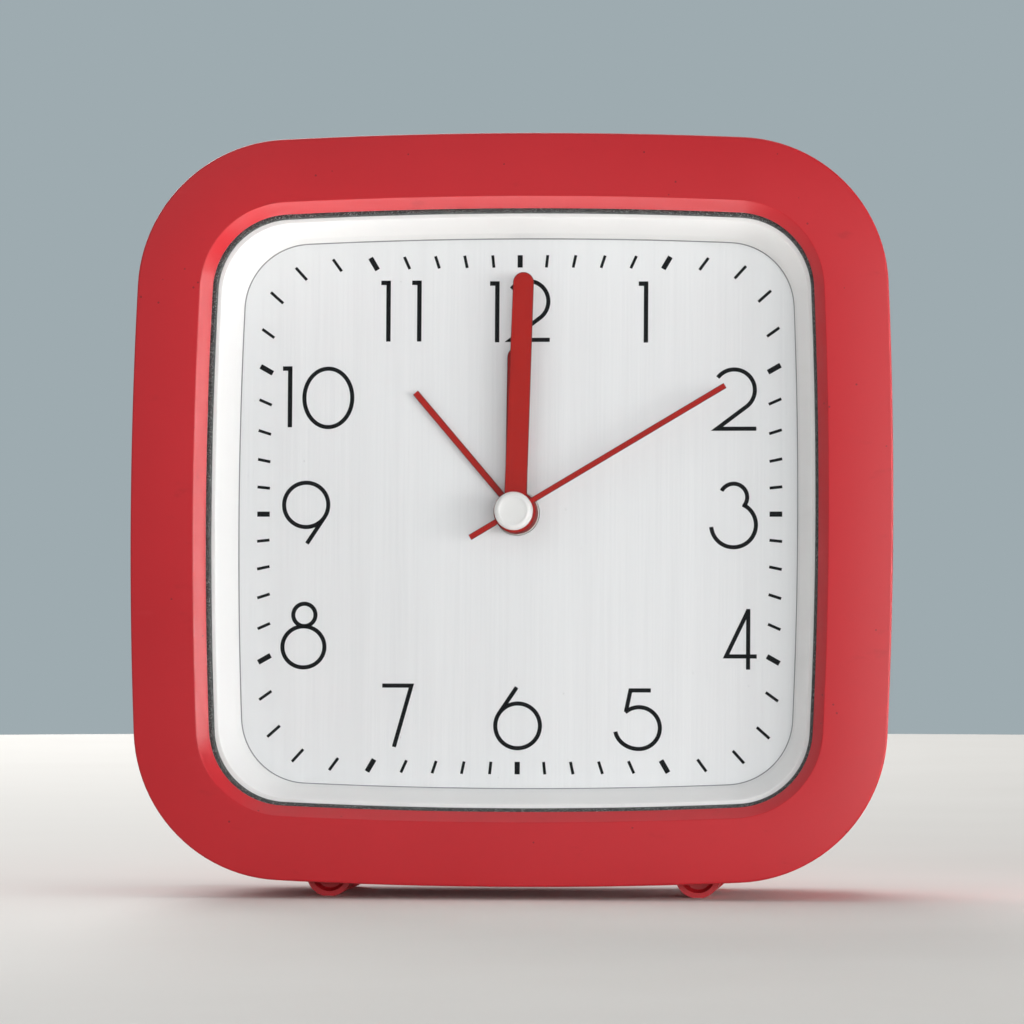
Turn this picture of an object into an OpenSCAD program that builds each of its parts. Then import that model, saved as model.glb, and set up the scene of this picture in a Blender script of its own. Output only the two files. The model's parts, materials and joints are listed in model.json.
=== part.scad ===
// Bedside quartz alarm clock: a bowed square case on four feet, its dial pack, hands and movement.
// Every module is drawn lying on its back: dial front at z = 0, twelve o'clock at +y, front at +z.
// stand() then sets the clock upright, leaning back on its feet with the table at z = 0.

/* [Case] */
// Overall width of the front frame
case_w = 117; // [104:0.1:140]
// Overall height of the front frame
case_h = 115.3; // [104:0.1:140]
// Corner radius of the front frame
corner_r = 23.4; // [20:0.1:28]
// Radius of the gently bowed sides
side_bow_r = 760; // [500:10:2000]
// Width of the front face, outer rim to ridge
face_w = 9.8; // [8.5:0.1:12]
// Fall of the front face from the ridge to the outer rim
face_fall = 0.3; // [0.1:0.1:1.5]
// Rounding of the outer rim
rim_round = 0.7; // [0.4:0.1:1.5]
// Draft of the frame's outer wall, rim to joint line
wall_draft = 1; // [0.2:0.1:1.4]
// Width of the chamfer between ridge and lens opening
chamfer_w = 1.65; // [1:0.05:2.4]
// Depth of the chamfer between ridge and lens opening
chamfer_d = 2.1; // [1:0.1:3]
// Thickness of the lip that holds the lens
lip_t = 0.3; // [0.2:0.05:1]
// How far the lens reaches under the lip
lens_land = 1.1; // [0.6:0.1:1.6]
// Wall thickness of both case shells
wall = 1.8; // [1.2:0.1:2.4]
// Wall of the skirt round the dial pack
skirt_wall = 1.5; // [1:0.1:1.8]
// Height of the case joint line in front of the dial
parting_h = 4; // [2.5:0.1:4.5]
// Step from the front frame in to the rear shell
shell_inset = 0.3; // [0.1:0.05:0.6]
// Depth of the rear shell
shell_depth = 30; // [29.4:0.1:36]
// Draft of the rear shell over its depth, which also sets the lean
shell_taper = 1.78; // [0.6:0.02:2.6]
// Rounding of the rear edge
rear_round = 2.4; // [1:0.1:2.8]

/* [Feet] */
// Radius of a half-round foot
foot_r = 3.5; // [3:0.1:4.5]
// Height of the shell over the table
foot_drop = 2.8; // [1.8:0.1:3]
// Length of a foot along the depth
foot_len = 6; // [4:0.1:8]
// Distance of the feet from the centre line
foot_x = 28.4; // [22:0.1:36]
// Depth of the flat ground on each foot
foot_flat = 0.1; // [0.1:0.05:0.4]
// Rim left round the hollow front of a foot
foot_rim = 0.8; // [0.6:0.1:1.2]
// Depth of the hollow in a foot's front
foot_hollow = 1.6; // [0.6:0.1:2.4]
// Distance from the joint line to the front feet
front_foot_set = 0.6; // [0.3:0.1:4]
// Distance from the joint line to the rear feet
rear_foot_set = 20; // [16:0.1:22]

/* [Dial pack] */
// Thickness of the lens
lens_t = 1.4; // [1:0.1:2]
// Thickness of the lens gasket
gasket_t = 0.5; // [0.3:0.05:0.8]
// Width of gasket seen inside the lip
gasket_show = 0.55; // [0.4:0.05:1]
// Height of the sloping ring in front of the dial
ring_h = 7.9; // [7.6:0.1:10]
// Distance from the frame's outer faces in to the ring's inner edge
ring_in = 15.1; // [14.7:0.05:17.5]
// Corner radius of the ring's inner edge
ring_r = 10.4; // [8:0.1:12]
// Height of the upright lip at the ring's inner edge
ring_lip = 1.1; // [0.6:0.1:2]
// Wall of the hollow dial ring
ring_wall = 0.9; // [0.7:0.1:1]
// Thickness of the dial plate
dial_t = 0.4; // [0.3:0.05:0.8]
// Thickness of the carrier plate behind the dial
carrier_t = 1.5; // [1.2:0.1:2.5]
// Play of the dial pack in the skirt
pack_play = 0.1; // [0.05:0.01:0.2]

/* [Hands] */
// Thickness of the stamped hands
hand_t = 0.3; // [0.2:0.05:0.5]
// Radius of the eye of the hour, minute and alarm hands
eye_r = 3.3; // [3:0.1:4]
// Length of the minute hand
minute_len = 37; // [30:0.5:39]
// Width of the minute hand at the eye
minute_w = 3.45; // [2:0.05:4]
// Width of the minute hand at its tip
minute_tip_w = 3.2; // [1:0.05:3.4]
// Length of the hour hand
hour_len = 25.6; // [20:0.2:30]
// Width of the hour hand
hour_w = 3.4; // [2:0.05:4]
// Length of the second hand
second_len = 37.7; // [30:0.1:39]
// Length of the second hand's tail
second_tail = 7.9; // [5:0.1:12]
// Width of the second hand
second_w = 0.87; // [0.6:0.01:1.2]
// Radius of the second hand's eye
second_eye_r = 1.6; // [1.4:0.1:2.4]
// Length of the alarm hand
alarm_len = 24.4; // [18:0.2:30]
// Width of the alarm hand
alarm_w = 1; // [0.6:0.05:2]
// Height of the alarm hand over the dial
alarm_hand_h = 0.8; // [0.7:0.05:1]
// Step from each hand up to the next
hand_step = 1.35; // [1.2:0.05:1.6]
// Radius of the cap over the hub
cap_r = 2.95; // [2.4:0.05:3.2]
// Height of the cap
cap_h = 1.8; // [1.4:0.1:2]
// Minute hand at rest, degrees past twelve
minute_rest = 1.8; // [0:0.1:360]
// Hour hand at rest, degrees past twelve
hour_rest = 0.6; // [0:0.1:360]
// Second hand at rest, degrees past twelve
second_rest = 59.2; // [0:0.1:360]
// Alarm hand at rest, degrees past twelve
alarm_rest = 319.6; // [0:0.1:360]

/* [Gear train] */
// Module of the time train
train_m = 0.25; // [0.24:0.002:0.254]
// Module of the motion work and alarm setting wheels
motion_m = 0.3; // [0.29:0.002:0.304]
// Thinning of each tooth at the pitch line
tooth_play = 0.08; // [0.06:0.01:0.1]
// Thickness of the wheels
wheel_t = 0.8; // [0.6:0.05:0.9]
// Extra length of a pinion over its wheel
pinion_extra = 0.4; // [0.2:0.05:0.5]
// Distance from the front plate to the alarm wheel's middle
first_level = 1.2; // [1.1:0.05:1.3]
// Step between the alarm wheel and the hour wheel
alarm_step = 1.6; // [1.5:0.05:1.7]
// Step between the other wheel levels
level_step = 2; // [1.9:0.05:2.1]
// Radius of the seconds arbor
arbor_r = 0.5; // [0.4:0.02:0.6]
// Wall of the hand pipes
pipe_wall = 0.6; // [0.5:0.02:0.62]
// Running clearance between arbors, pipes and bearings
run_play = 0.05; // [0.03:0.005:0.07]
// Push clearance of the hands and knobs on their pipes
push_play = 0.02; // [0.01:0.005:0.04]
// Radius of the setting shafts
shaft_r = 1; // [0.8:0.05:1.1]
// How far the setting shafts sit below the hub
shaft_drop = 3; // [2:0.1:4]
// Direction of the third wheel from the hub
third_dir = 120; // [110:1:130]
// Direction of the fifth wheel from the hub
fifth_dir = 60; // [55:1:64]
// Direction of the rotor from the fifth wheel
rotor_dir = 15; // [10:1:20]

/* [Movement] */
// Half width of the movement box
box_hw = 30; // [29.5:0.1:31]
// Top of the movement box over the hub
box_top = 21; // [20.6:0.1:24]
// Wall of the movement box
box_wall = 1.2; // [1:0.1:1.4]
// Thickness of the movement plates
plate_t = 1.5; // [1.3:0.1:2]
// Wall of the bush that carries the alarm pipe
bush_wall = 0.9; // [0.6:0.05:1]
// Radius of the rotor magnet
magnet_r = 3; // [2.5:0.1:3.1]
// Height of the rotor magnet
magnet_h = 3; // [2:0.1:3.4]
// Air gap between magnet and stator
air_gap = 0.35; // [0.3:0.01:0.45]
// Width of the stator limbs
stator_w = 3; // [2.4:0.1:3]
// Thickness of the stator and the coil core
stator_t = 1.2; // [0.8:0.1:1.3]
// Distance of the coil from the hub
coil_x = 22; // [21.6:0.1:23]
// Radius of the coil winding
coil_r = 3.4; // [2.6:0.1:3.6]
// Length of the winding
coil_len = 7.6; // [6:0.1:7.8]
// Length of the coil core between its pins
core_len = 17; // [16.6:0.1:18]
// Radius of the sounder
buzzer_r = 6; // [5:0.1:6.2]
// Air between the sounder and the back panel
buzzer_gap = 2; // [1.4:0.1:4]
// Thickness of the circuit board
board_t = 1.2; // [0.8:0.1:1.6]

/* [Battery] */
// Radius of the size AA cell
cell_r = 7.25; // [7:0.05:7.3]
// Length of the cell without its nub
cell_len = 49.5; // [48:0.1:49.6]
// Length of the cell's nub
nub_len = 1; // [0.6:0.1:1.2]
// Play round the cell in its tray
cell_play = 0.3; // [0.2:0.05:0.4]
// Thickness of the contact plates
contact_t = 0.5; // [0.3:0.05:0.6]
// Play round the battery door
door_play = 0.2; // [0.1:0.05:0.3]

/* [Controls] */
// Radius of the setting knobs
knob_r = 5.5; // [4.5:0.1:6.5]
// Height of the setting knobs
knob_h = 5.6; // [4:0.1:7]
// Depth of the grip flutes on the knobs
flute_r = 0.5; // [0.3:0.05:0.7]
// Travel of the alarm switch
switch_travel = 4; // [3:0.1:4.4]
// Length of the alarm switch grip
switch_len = 5; // [4:0.1:6]
// Width of the alarm switch grip
switch_w = 4; // [3:0.1:5]

/* [Fasteners] */
// Distance of the case screws in from the frame's outer faces
screw_in = 12.8; // [12.4:0.1:13.2]
// Radius of the case screw shank
case_screw_r = 1; // [0.8:0.05:1.2]
// Radius of the case screw head
case_head_r = 2.1; // [1.8:0.05:2.2]
// Radius of the movement screw shank
small_screw_r = 0.9; // [0.7:0.05:1]
// Radius of the movement screw head
small_head_r = 1.7; // [1.4:0.05:1.9]
// Clearance round a screw shank in its boss
thread_play = 0.05; // [0.03:0.01:0.08]
// Wall of a screw boss
boss_wall = 1.5; // [1.2:0.1:1.6]

/* [Hidden] */
$fn = 48;
eps = 0.01;

// Case outline and depths
hw = case_w / 2;
hh = case_h / 2;
lean = atan(shell_taper / shell_depth);
gasket_top = ring_h + gasket_t;
lens_top = gasket_top + lens_t;
lip_top = lens_top + lip_t;
ridge_z = lip_top + chamfer_d;
joint_d = wall_draft + shell_inset;
lip_d = face_w + chamfer_w;
pack_d = lip_d - lens_land;
skirt_in_d = pack_d - pack_play;
skirt_out_d = skirt_in_d - skirt_wall;
ring_hw = hw - ring_in;
ring_hh = hh - ring_in;
dial_back = -dial_t;
carrier_back = dial_back - carrier_t;
back_z = parting_h - shell_depth;
panel_z = back_z + wall;

// Movement depths
front_back = carrier_back - plate_t;
lev_alarm = front_back - first_level;
lev_hour = lev_alarm - alarm_step;
lev_motion = lev_hour - level_step + pinion_extra / 2;
lev_centre = lev_motion - level_step;
lev_third = lev_centre - level_step;
lev_seconds = lev_third - level_step;
lev_fifth = lev_seconds - level_step;
rear_front = lev_fifth - level_step;
rear_back = rear_front - plate_t;
pivot_depth = 1;
pivot_gap = 0.1;
front_pivot = front_back + pivot_depth - pivot_gap;
rear_pivot = rear_front - pivot_depth + pivot_gap;

// Coaxial pipes, from the seconds arbor outward
minute_bore = arbor_r + run_play;
minute_pipe = minute_bore + pipe_wall;
hour_bore = minute_pipe + run_play;
hour_pipe = hour_bore + pipe_wall;
alarm_bore = hour_pipe + run_play;
alarm_pipe = alarm_bore + pipe_wall;
bush_bore = alarm_pipe + run_play;
bush_r = bush_bore + bush_wall;
bush_hole = bush_r + pack_play;
bush_top = 0.3;
hour_hand_h = alarm_hand_h + hand_step;
minute_hand_h = hour_hand_h + hand_step;
second_hand_h = minute_hand_h + hand_step;
cap_z = second_hand_h + hand_t;
pipe_over = 0.2;

// Tooth counts
rotor_teeth = 8;
fifth_teeth = 40;
fifth_pinion = 10;
seconds_teeth = 60;
seconds_pinion = 8;
third_teeth = 60;
third_pinion = 8;
centre_teeth = 64;
cannon_teeth = 15;
motion_teeth = 45;
motion_pinion = 12;
hour_teeth = 48;
alarm_teeth = 48;
setting_teeth = 32;
pressure = 20;
pinion_add = 0.9;
wheel_add = 0.65;
root_ded = 1.15;

// Wheel centres
third_c = (third_teeth + seconds_pinion) * train_m / 2;
centre_m = 2 * third_c / (centre_teeth + third_pinion);
fifth_c = (seconds_teeth + fifth_pinion) * train_m / 2;
rotor_c = (fifth_teeth + rotor_teeth) * train_m / 2;
motion_c = (cannon_teeth + motion_teeth) * motion_m / 2;
hour_m = 2 * motion_c / (hour_teeth + motion_pinion);
alarm_c = (alarm_teeth + setting_teeth) * motion_m / 2;
third_p = third_c * [cos(third_dir), sin(third_dir)];
fifth_p = fifth_c * [cos(fifth_dir), sin(fifth_dir)];
rotor_p = fifth_p + rotor_c * [cos(rotor_dir), sin(rotor_dir)];
motion_p = [sqrt(motion_c * motion_c - shaft_drop * shaft_drop), -shaft_drop];
alarm_p = [-sqrt(alarm_c * alarm_c - shaft_drop * shaft_drop), -shaft_drop];
motion_dir = atan2(motion_p[1], motion_p[0]);
alarm_dir = atan2(alarm_p[1], alarm_p[0]);
wheel_gap = 0.15;
seconds_tip = train_m * (seconds_teeth / 2 + wheel_add);
centre_tip = centre_m * (centre_teeth / 2 + wheel_add);
third_neck = min(arbor_r + 0.4, third_c - seconds_tip - wheel_gap);
motion_neck = min(shaft_r + 0.6, motion_c - max(seconds_tip, centre_tip) - wheel_gap);

// Battery tray
cell_y = -23;
cell_z = panel_z + 0.75 + cell_r;
tray_half = cell_r + cell_play;
tray_floor = cell_z + cell_r + cell_play;
cell_x0 = -cell_len / 2 - nub_len / 4;
cell_x1 = cell_x0 + cell_len;
tray_x1 = cell_x1 + nub_len + contact_t;
tray_x0 = -(box_hw - box_wall);
tray_top = cell_y + tray_half;
tray_back = panel_z + 0.15;
box_bottom = cell_y - tray_half - box_wall;
gear_bottom = tray_top + box_wall;
leaf_gap = cell_x0 - tray_x0;

// Door opening in the rear panel
door_x0 = tray_x0 + 1.2;
door_x1 = tray_x1 + 0.4;
door_y0 = cell_y - tray_half;
door_y1 = tray_top;

// Circuit board and switch places
board_x0 = tray_x0 + 0.4;
board_x1 = alarm_p[0] - shaft_r - 2.6;
board_y0 = gear_bottom + 0.7;
board_y1 = box_top - box_wall - 0.4;
board_back = rear_front + 1.8;
board_front = board_back + board_t;
buzzer_p = [board_x0 + buzzer_r + 0.6, 8];
switch_p = [buzzer_p[0], -6.5];
buzzer_end = panel_z + buzzer_gap;
stem_w = 2;
prong_end = board_back - 0.3;
flange_t = 1;
flange_pad = 2.4;
slide_play = 0.15;
panel_slot = switch_travel + stem_w + 2 * slide_play;

// Coil places
coil_y = 7.9;
pin_top = [coil_x, coil_y + core_len / 2];
pin_low = [coil_x, coil_y - core_len / 2];
pin_r = 0.8;
post_r = 1.4;
stator_z = lev_centre - stator_t / 2;
core_z = stator_z + stator_t;
core_mid = core_z + stator_t / 2;
core_w = 3;
flange_len = 0.8;
stator_ring = magnet_r + air_gap + 1.9;

// Fastener places
boss_r = case_screw_r + boss_wall;
screw_p = [hw - screw_in, hh - screw_in];
boss_end = -6;
head_h = 1.4;
head_seat = -14;
pilot_end = parting_h;
ear_x = box_hw + 3.4;
ear_y = [14, -24];
ear_r = 2.6;
small_head_h = 1.2;
ear_t = 1.5;
stay_p = [38, 37];
stay_r = 1.8;
contact_p = [-16.5, 3];
contact_post = 1.2;

// Knobs
knob_gap = 0.4;
knob_top = back_z - knob_gap;
knob_end = knob_top - knob_h;
knob_bore_end = knob_end + 1.4;
shaft_end = knob_bore_end + 0.2;
panel_hole = shaft_r + 0.6;

// Standing place of the clock
lift = foot_drop + (hh - joint_d) * cos(lean) - parting_h * sin(lean);
front_reach = -(hh - face_w) * sin(lean) - ridge_z * cos(lean);
rear_reach = (knob_r - shaft_drop) * sin(lean) - knob_end * cos(lean);
y_shift = -(front_reach + rear_reach) / 2;

red = [0.78, 0.14, 0.17];
white = [0.95, 0.95, 0.94];
silver = [0.86, 0.87, 0.87];
black = [0.12, 0.12, 0.13];
cream = [0.9, 0.88, 0.8];
brass = [0.8, 0.65, 0.3];
steel = [0.7, 0.7, 0.72];
copper = [0.72, 0.4, 0.2];
green = [0.1, 0.4, 0.2];
clear = [0.8, 0.9, 0.95, 0.35];

// Sets a face-up drawing upright on its feet
module stand() {
  translate([0, y_shift, lift])
    rotate([90 - lean, 0, 0])
      children();
}

// Centre of the corner arc tangent to both bowed sides
function corner_centre(w, h, r, bow) =
  let (a = bow - w, b = bow - h, q = bow - r)
  let (k = b / a, k0 = (b * b - a * a) / (2 * a), p = k0 + a)
  let (qa = k * k + 1, qb = 2 * k * p, qc = p * p - q * q)
  let (cy = (sqrt(qb * qb - 4 * qa * qc) - qb) / (2 * qa))
  [k * cy + k0, cy];

corner_n = 9;
side_n = 4;

// First quadrant of the bowed outline, from the right side round to the top
function quadrant(w, h, r, bow) =
  let (c = corner_centre(w, h, r, bow))
  let (sx = atan2(c[1], c[0] + bow - w), sy = atan2(c[0], c[1] + bow - h))
  concat(
    [for (i = [0 : side_n - 1]) let (t = sx * i / side_n) [w - bow + bow * cos(t), bow * sin(t)]],
    [for (i = [0 : corner_n])
      let (t = sx + (90 - sx - sy) * i / corner_n)
      [c[0] + r * cos(t), c[1] + r * sin(t)]],
    [for (i = [1 : side_n - 1])
      let (t = 90 - sy + sy * i / side_n)
      [bow * cos(t), h - bow + bow * sin(t)]]
  );

// Whole bowed outline, counted anticlockwise from the right
function outline(w, h, r, bow = side_bow_r) =
  let (q = quadrant(w, h, r, bow))
  let (n = len(q))
  concat(
    q,
    [[0, h]],
    [for (i = [n - 1 : -1 : 0]) [-q[i][0], q[i][1]]],
    [for (i = [1 : n - 1]) [-q[i][0], -q[i][1]]],
    [[0, -h]],
    [for (i = [n - 1 : -1 : 1]) [q[i][0], -q[i][1]]]
  );

// Outline set in by d from the front frame's outer face
function frame_line(d) = outline(hw - d, hh - d, corner_r - d, side_bow_r - d);

// Outline of the rear shell at a distance s behind the joint line, set in by d
function shell_line(s, d) = frame_line(joint_d + shell_taper * s / shell_depth + d);

function at_height(line, z) = [for (p = line) [p[0], p[1], z]];

// Solid between stacked outlines of equal point count, listed from the top down
module loft(rings) {
  m = len(rings[0]);
  n = len(rings);
  pts = [for (r = rings) each r];
  sides = [
    for (j = [0 : n - 2])
      for (i = [0 : m - 1])
        let (k = (i + 1) % m)
        each [[j * m + i, j * m + k, (j + 1) * m + k], [j * m + i, (j + 1) * m + k, (j + 1) * m + i]]
  ];
  top = [for (i = [m - 1 : -1 : 0]) i];
  bottom = [for (i = [0 : m - 1]) (n - 1) * m + i];
  polyhedron(points = pts, faces = concat(sides, [top], [bottom]), convexity = 6);
}

// Closed frame whose section is the loop of outlines, listed clockwise
module frame_loop(rings) {
  m = len(rings[0]);
  n = len(rings);
  pts = [for (r = rings) each r];
  sides = [
    for (j = [0 : n - 1])
      for (i = [0 : m - 1])
        let (k = (i + 1) % m, l = (j + 1) % n)
        each [[j * m + i, j * m + k, l * m + k], [j * m + i, l * m + k, l * m + i]]
  ];
  polyhedron(points = pts, faces = sides, convexity = 8);
}

// Plate with a bowed outline
module slab(line, z0, z1) {
  translate([0, 0, z0])
    linear_extrude(z1 - z0)
      polygon(line);
}

// Round bar between two heights
module rod(r, z0, z1) {
  translate([0, 0, z0])
    cylinder(r = r, h = z1 - z0);
}

module at(p) {
  translate([p[0], p[1], 0])
    children();
}

// Copies at the four corners
module four(p) {
  for (sx = [-1, 1])
    for (sy = [-1, 1])
      at([sx * p[0], sy * p[1]])
        children();
}

module block(x0, x1, y0, y1, z0, z1) {
  translate([x0, y0, z0])
    cube([x1 - x0, y1 - y0, z1 - z0]);
}

// Round-ended strip between two points
module strip(a, b, w) {
  d = b - a;
  translate(a)
    rotate(atan2(d[1], d[0]))
      translate([0, -w / 2])
        square([norm(d), w]);
  translate(a)
    circle(d = w);
  translate(b)
    circle(d = w);
}

function involute(a) = tan(a) * 180 / PI - a;

// Half angle of a tooth at radius r
function tooth_half(z, m, r) =
  let (pitch = z * m / 2, base = pitch * cos(pressure))
  90 / z - tooth_play / (2 * pitch) * 180 / PI + involute(pressure) - involute(acos(min(1, base / r)));

// Flank of one tooth from root to tip, as radius and half angle
function flank(z, m, add) =
  let (pitch = z * m / 2, base = pitch * cos(pressure))
  let (tip = pitch + add * m, root = pitch - root_ded * m, low = max(base, root))
  let (steps = root < base ? 3 : 2)
  concat(
    root < base ? [[root, tooth_half(z, m, base) * 0.9]] : [],
    [for (i = [0 : steps]) let (r = low + (tip - low) * i / steps) [r, tooth_half(z, m, r)]]
  );

// Involute gear with a tooth centred on the direction phase
module gear(z, m, add, phase, z0, z1) {
  side = flank(z, m, add);
  n = len(side);
  pts = [
    for (k = [0 : z - 1])
      let (c = phase + 360 * k / z)
      each concat(
        [for (i = [0 : n - 1]) side[i][0] * [cos(c - side[i][1]), sin(c - side[i][1])]],
        [for (i = [n - 1 : -1 : 0]) side[i][0] * [cos(c + side[i][1]), sin(c + side[i][1])]]
      )
  ];
  translate([0, 0, z0])
    linear_extrude(z1 - z0)
      polygon(pts);
}

module wheel(z, m, phase, lev) {
  gear(z, m, wheel_add, phase, lev - wheel_t / 2, lev + wheel_t / 2);
}

module pinion(z, m, phase, lev) {
  gear(z, m, pinion_add, phase, lev - (wheel_t + pinion_extra) / 2, lev + (wheel_t + pinion_extra) / 2);
}

// Red front frame with its lens lip, dial skirt and screw bosses
module front_bezel() {
  rim_top = ridge_z - face_fall;
  a = rim_round;
  loop = [
    [wall_draft, parting_h], [0, rim_top - a], [a * 0.13, rim_top - a * 0.5], [a * 0.5, rim_top - a * 0.13],
    [a, rim_top], [face_w - 0.2, ridge_z - 0.05], [face_w, ridge_z - 0.02], [face_w + 0.17, ridge_z - 0.15],
    [lip_d, lip_top], [lip_d, lens_top], [skirt_in_d, lens_top], [skirt_in_d, carrier_back],
    [skirt_out_d, carrier_back], [skirt_out_d, lens_top - 0.4], [wall + 0.6, rim_top - 2.4],
    [wall + wall_draft, parting_h]
  ];
  color(red)
    stand()
      difference() {
        union() {
          frame_loop([for (i = [len(loop) - 1 : -1 : 0]) at_height(frame_line(loop[i][0]), loop[i][1])]);
          four(screw_p)
            rod(boss_r, boss_end, lens_top + 0.1);
        }
        four(screw_p)
          rod(case_screw_r + thread_play, boss_end - eps, pilot_end);
        slab(frame_line(skirt_in_d), carrier_back - eps, lens_top);
      }
}

// Clear lens behind the lip
module lens() {
  color(clear)
    stand()
      slab(frame_line(pack_d), gasket_top, lens_top);
}

// Dark gasket between lens and dial ring
module lens_gasket() {
  color(black)
    stand()
      difference() {
        slab(frame_line(pack_d), ring_h, gasket_top);
        slab(frame_line(lip_d + gasket_show), ring_h - eps, gasket_top + eps);
      }
}

// Sloping white ring round the dial
module dial_ring() {
  slope_d = lip_d + gasket_show;
  foot_w = 2 * ring_wall;
  color(white)
    stand()
      frame_loop([
        at_height(frame_line(pack_d), ring_h),
        at_height(frame_line(pack_d), 0),
        at_height(frame_line(pack_d + ring_wall), 0),
        at_height(frame_line(pack_d + ring_wall), ring_h - 2 * ring_wall),
        at_height(outline(ring_hw + foot_w, ring_hh + foot_w, ring_r + foot_w), ring_lip),
        at_height(outline(ring_hw + foot_w, ring_hh + foot_w, ring_r + foot_w), 0),
        at_height(outline(ring_hw, ring_hh, ring_r), 0),
        at_height(outline(ring_hw, ring_hh, ring_r), ring_lip),
        at_height(frame_line(slope_d), ring_h)
      ]);
}

// Printed metal dial
module dial() {
  color(silver)
    stand()
      difference() {
        slab(frame_line(pack_d), dial_back, 0);
        rod(bush_hole, dial_back - eps, eps);
      }
}

// Plate that carries the dial and the movement
module dial_carrier() {
  color(white)
    stand()
      difference() {
        union() {
          slab(frame_line(pack_d), carrier_back, dial_back);
          for (y = ear_y)
            for (s = [-1, 1])
              at([s * ear_x, y])
                rod(ear_r, front_back, carrier_back + eps);
        }
        rod(bush_hole, carrier_back - eps, dial_back + eps);
        for (y = ear_y)
          for (s = [-1, 1])
            at([s * ear_x, y])
              rod(small_screw_r + thread_play, front_back - eps, dial_back - 0.3);
      }
}

// Half-round foot, drawn upright in the standing frame
module foot(x, y) {
  axis_z = foot_r - foot_flat;
  difference() {
    translate([x, y, axis_z])
      rotate([-90, 0, 0])
        cylinder(r = foot_r, h = foot_len);
    translate([x - 2 * foot_r, y - 1, -2 * foot_r])
      cube([4 * foot_r, foot_len + 2, 2 * foot_r]);
    translate([x - 2 * foot_r, y - 1, foot_drop + wall * 0.6])
      cube([4 * foot_r, foot_len + 2, 2 * foot_r]);
    intersection() {
      translate([x, y - eps, axis_z])
        rotate([-90, 0, 0])
          cylinder(r1 = foot_r - foot_rim, r2 = foot_r - foot_rim - foot_hollow / 3, h = foot_hollow);
      translate([x - foot_r, y - 1, 0])
        cube([2 * foot_r, foot_len, foot_drop - 0.1]);
    }
  }
}

// Red rear shell with feet, stays, screw bosses and the openings of the back panel
module rear_case() {
  feet_y = y_shift - (hh - joint_d) * sin(lean) - parting_h * cos(lean);
  rr = rear_round;
  s1 = shell_depth - rr;
  color(red)
    difference() {
      union() {
        difference() {
          union() {
            stand()
              loft([
                at_height(shell_line(0, 0), parting_h),
                at_height(shell_line(s1, 0), parting_h - s1),
                at_height(shell_line(s1, rr * 0.12), parting_h - s1 - rr * 0.5),
                at_height(shell_line(s1, rr * 0.45), parting_h - s1 - rr * 0.85),
                at_height(shell_line(s1, rr), back_z)
              ]);
            for (s = [-1, 1]) {
              foot(s * foot_x, feet_y + front_foot_set);
              foot(s * foot_x, feet_y + rear_foot_set);
            }
          }
          stand()
            loft([
              at_height(shell_line(-1, wall), parting_h + 1),
              at_height(shell_line(shell_depth - wall, wall), panel_z)
            ]);
        }
        stand() {
          four(screw_p)
            rod(boss_r, panel_z - eps, boss_end);
          four(screw_p)
            rod(case_head_r + 1.2, panel_z - eps, head_seat + 1.6);
          four(stay_p)
            rod(stay_r, panel_z - eps, carrier_back);
          for (s = [-1, 1])
            translate([switch_p[0], switch_p[1] + s * (switch_w / 2 + 1.2 + slide_play), 0])
              block(-6, 6, -0.6, 0.6, panel_z - eps, panel_z + flange_t + 0.6);
        }
      }
      stand() {
        four(screw_p)
          rod(case_screw_r + 0.3, panel_z, boss_end + 1);
        four(screw_p)
          rod(case_head_r + 0.2, back_z - 1, head_seat);
        at(motion_p)
          rod(panel_hole, back_z - 1, panel_z + 1);
        at(alarm_p)
          rod(panel_hole, back_z - 1, panel_z + 1);
        block(door_x0, door_x1, door_y0, door_y1, back_z - 1, panel_z + 1);
        translate([(door_x0 + door_x1) / 2, door_y1, back_z])
          cylinder(r = 4, h = 1, center = true);
        translate([switch_p[0], switch_p[1], 0])
          block(-panel_slot / 2, panel_slot / 2, -stem_w / 2 - slide_play, stem_w / 2 + slide_play, back_z - 1, panel_z + 1);
        at(buzzer_p)
          rod(0.9, back_z - 1, panel_z + 1);
        for (i = [0 : 5])
          at(buzzer_p + 0.57 * buzzer_r * [cos(60 * i), sin(60 * i)])
            rod(0.9, back_z - 1, panel_z + 1);
      }
    }
}

// Snap-off battery door
module battery_door() {
  mid = (door_x0 + door_x1) / 2;
  rib_y = tray_half - 1.2;
  rib_half = (door_x1 - door_x0) / 2 - 8.7;
  color(red)
    stand()
      difference() {
        union() {
          block(door_x0 + door_play, door_x1 - door_play, door_y0 + door_play, door_y1 - door_play, back_z, tray_back);
          for (s = [-1, 1])
            translate([mid, cell_y + s * rib_y, 0])
              block(-rib_half, rib_half, -0.5, 0.5, tray_back - eps, tray_back + 1.6);
        }
        translate([mid, door_y1, back_z])
          cylinder(r = 4, h = 1, center = true);
      }
}

// Four case screws
module case_screws() {
  slot_w = 0.5;
  color(steel)
    stand()
      four(screw_p)
        difference() {
          union() {
            rod(case_head_r, head_seat - head_h, head_seat);
            rod(case_screw_r, head_seat - eps, pilot_end - 2);
          }
          for (a = [0, 90])
            rotate([0, 0, a])
              block(-case_head_r * 0.7, case_head_r * 0.7, -slot_w / 2, slot_w / 2, head_seat - head_h - eps, head_seat - 0.7);
        }
}

// Blade of a hand with a round tip and an eye over the hub
module hand(len, w0, w1, eye, bore, h, turn) {
  stand()
    rotate([0, 0, -turn])
      translate([0, 0, h])
        linear_extrude(hand_t)
          difference() {
            union() {
              polygon([[-w0 / 2, 0], [w0 / 2, 0], [w1 / 2, len - w1 / 2], [-w1 / 2, len - w1 / 2]]);
              translate([0, len - w1 / 2])
                circle(d = w1);
              circle(r = eye);
            }
            circle(r = bore + push_play);
          }
}

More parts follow.
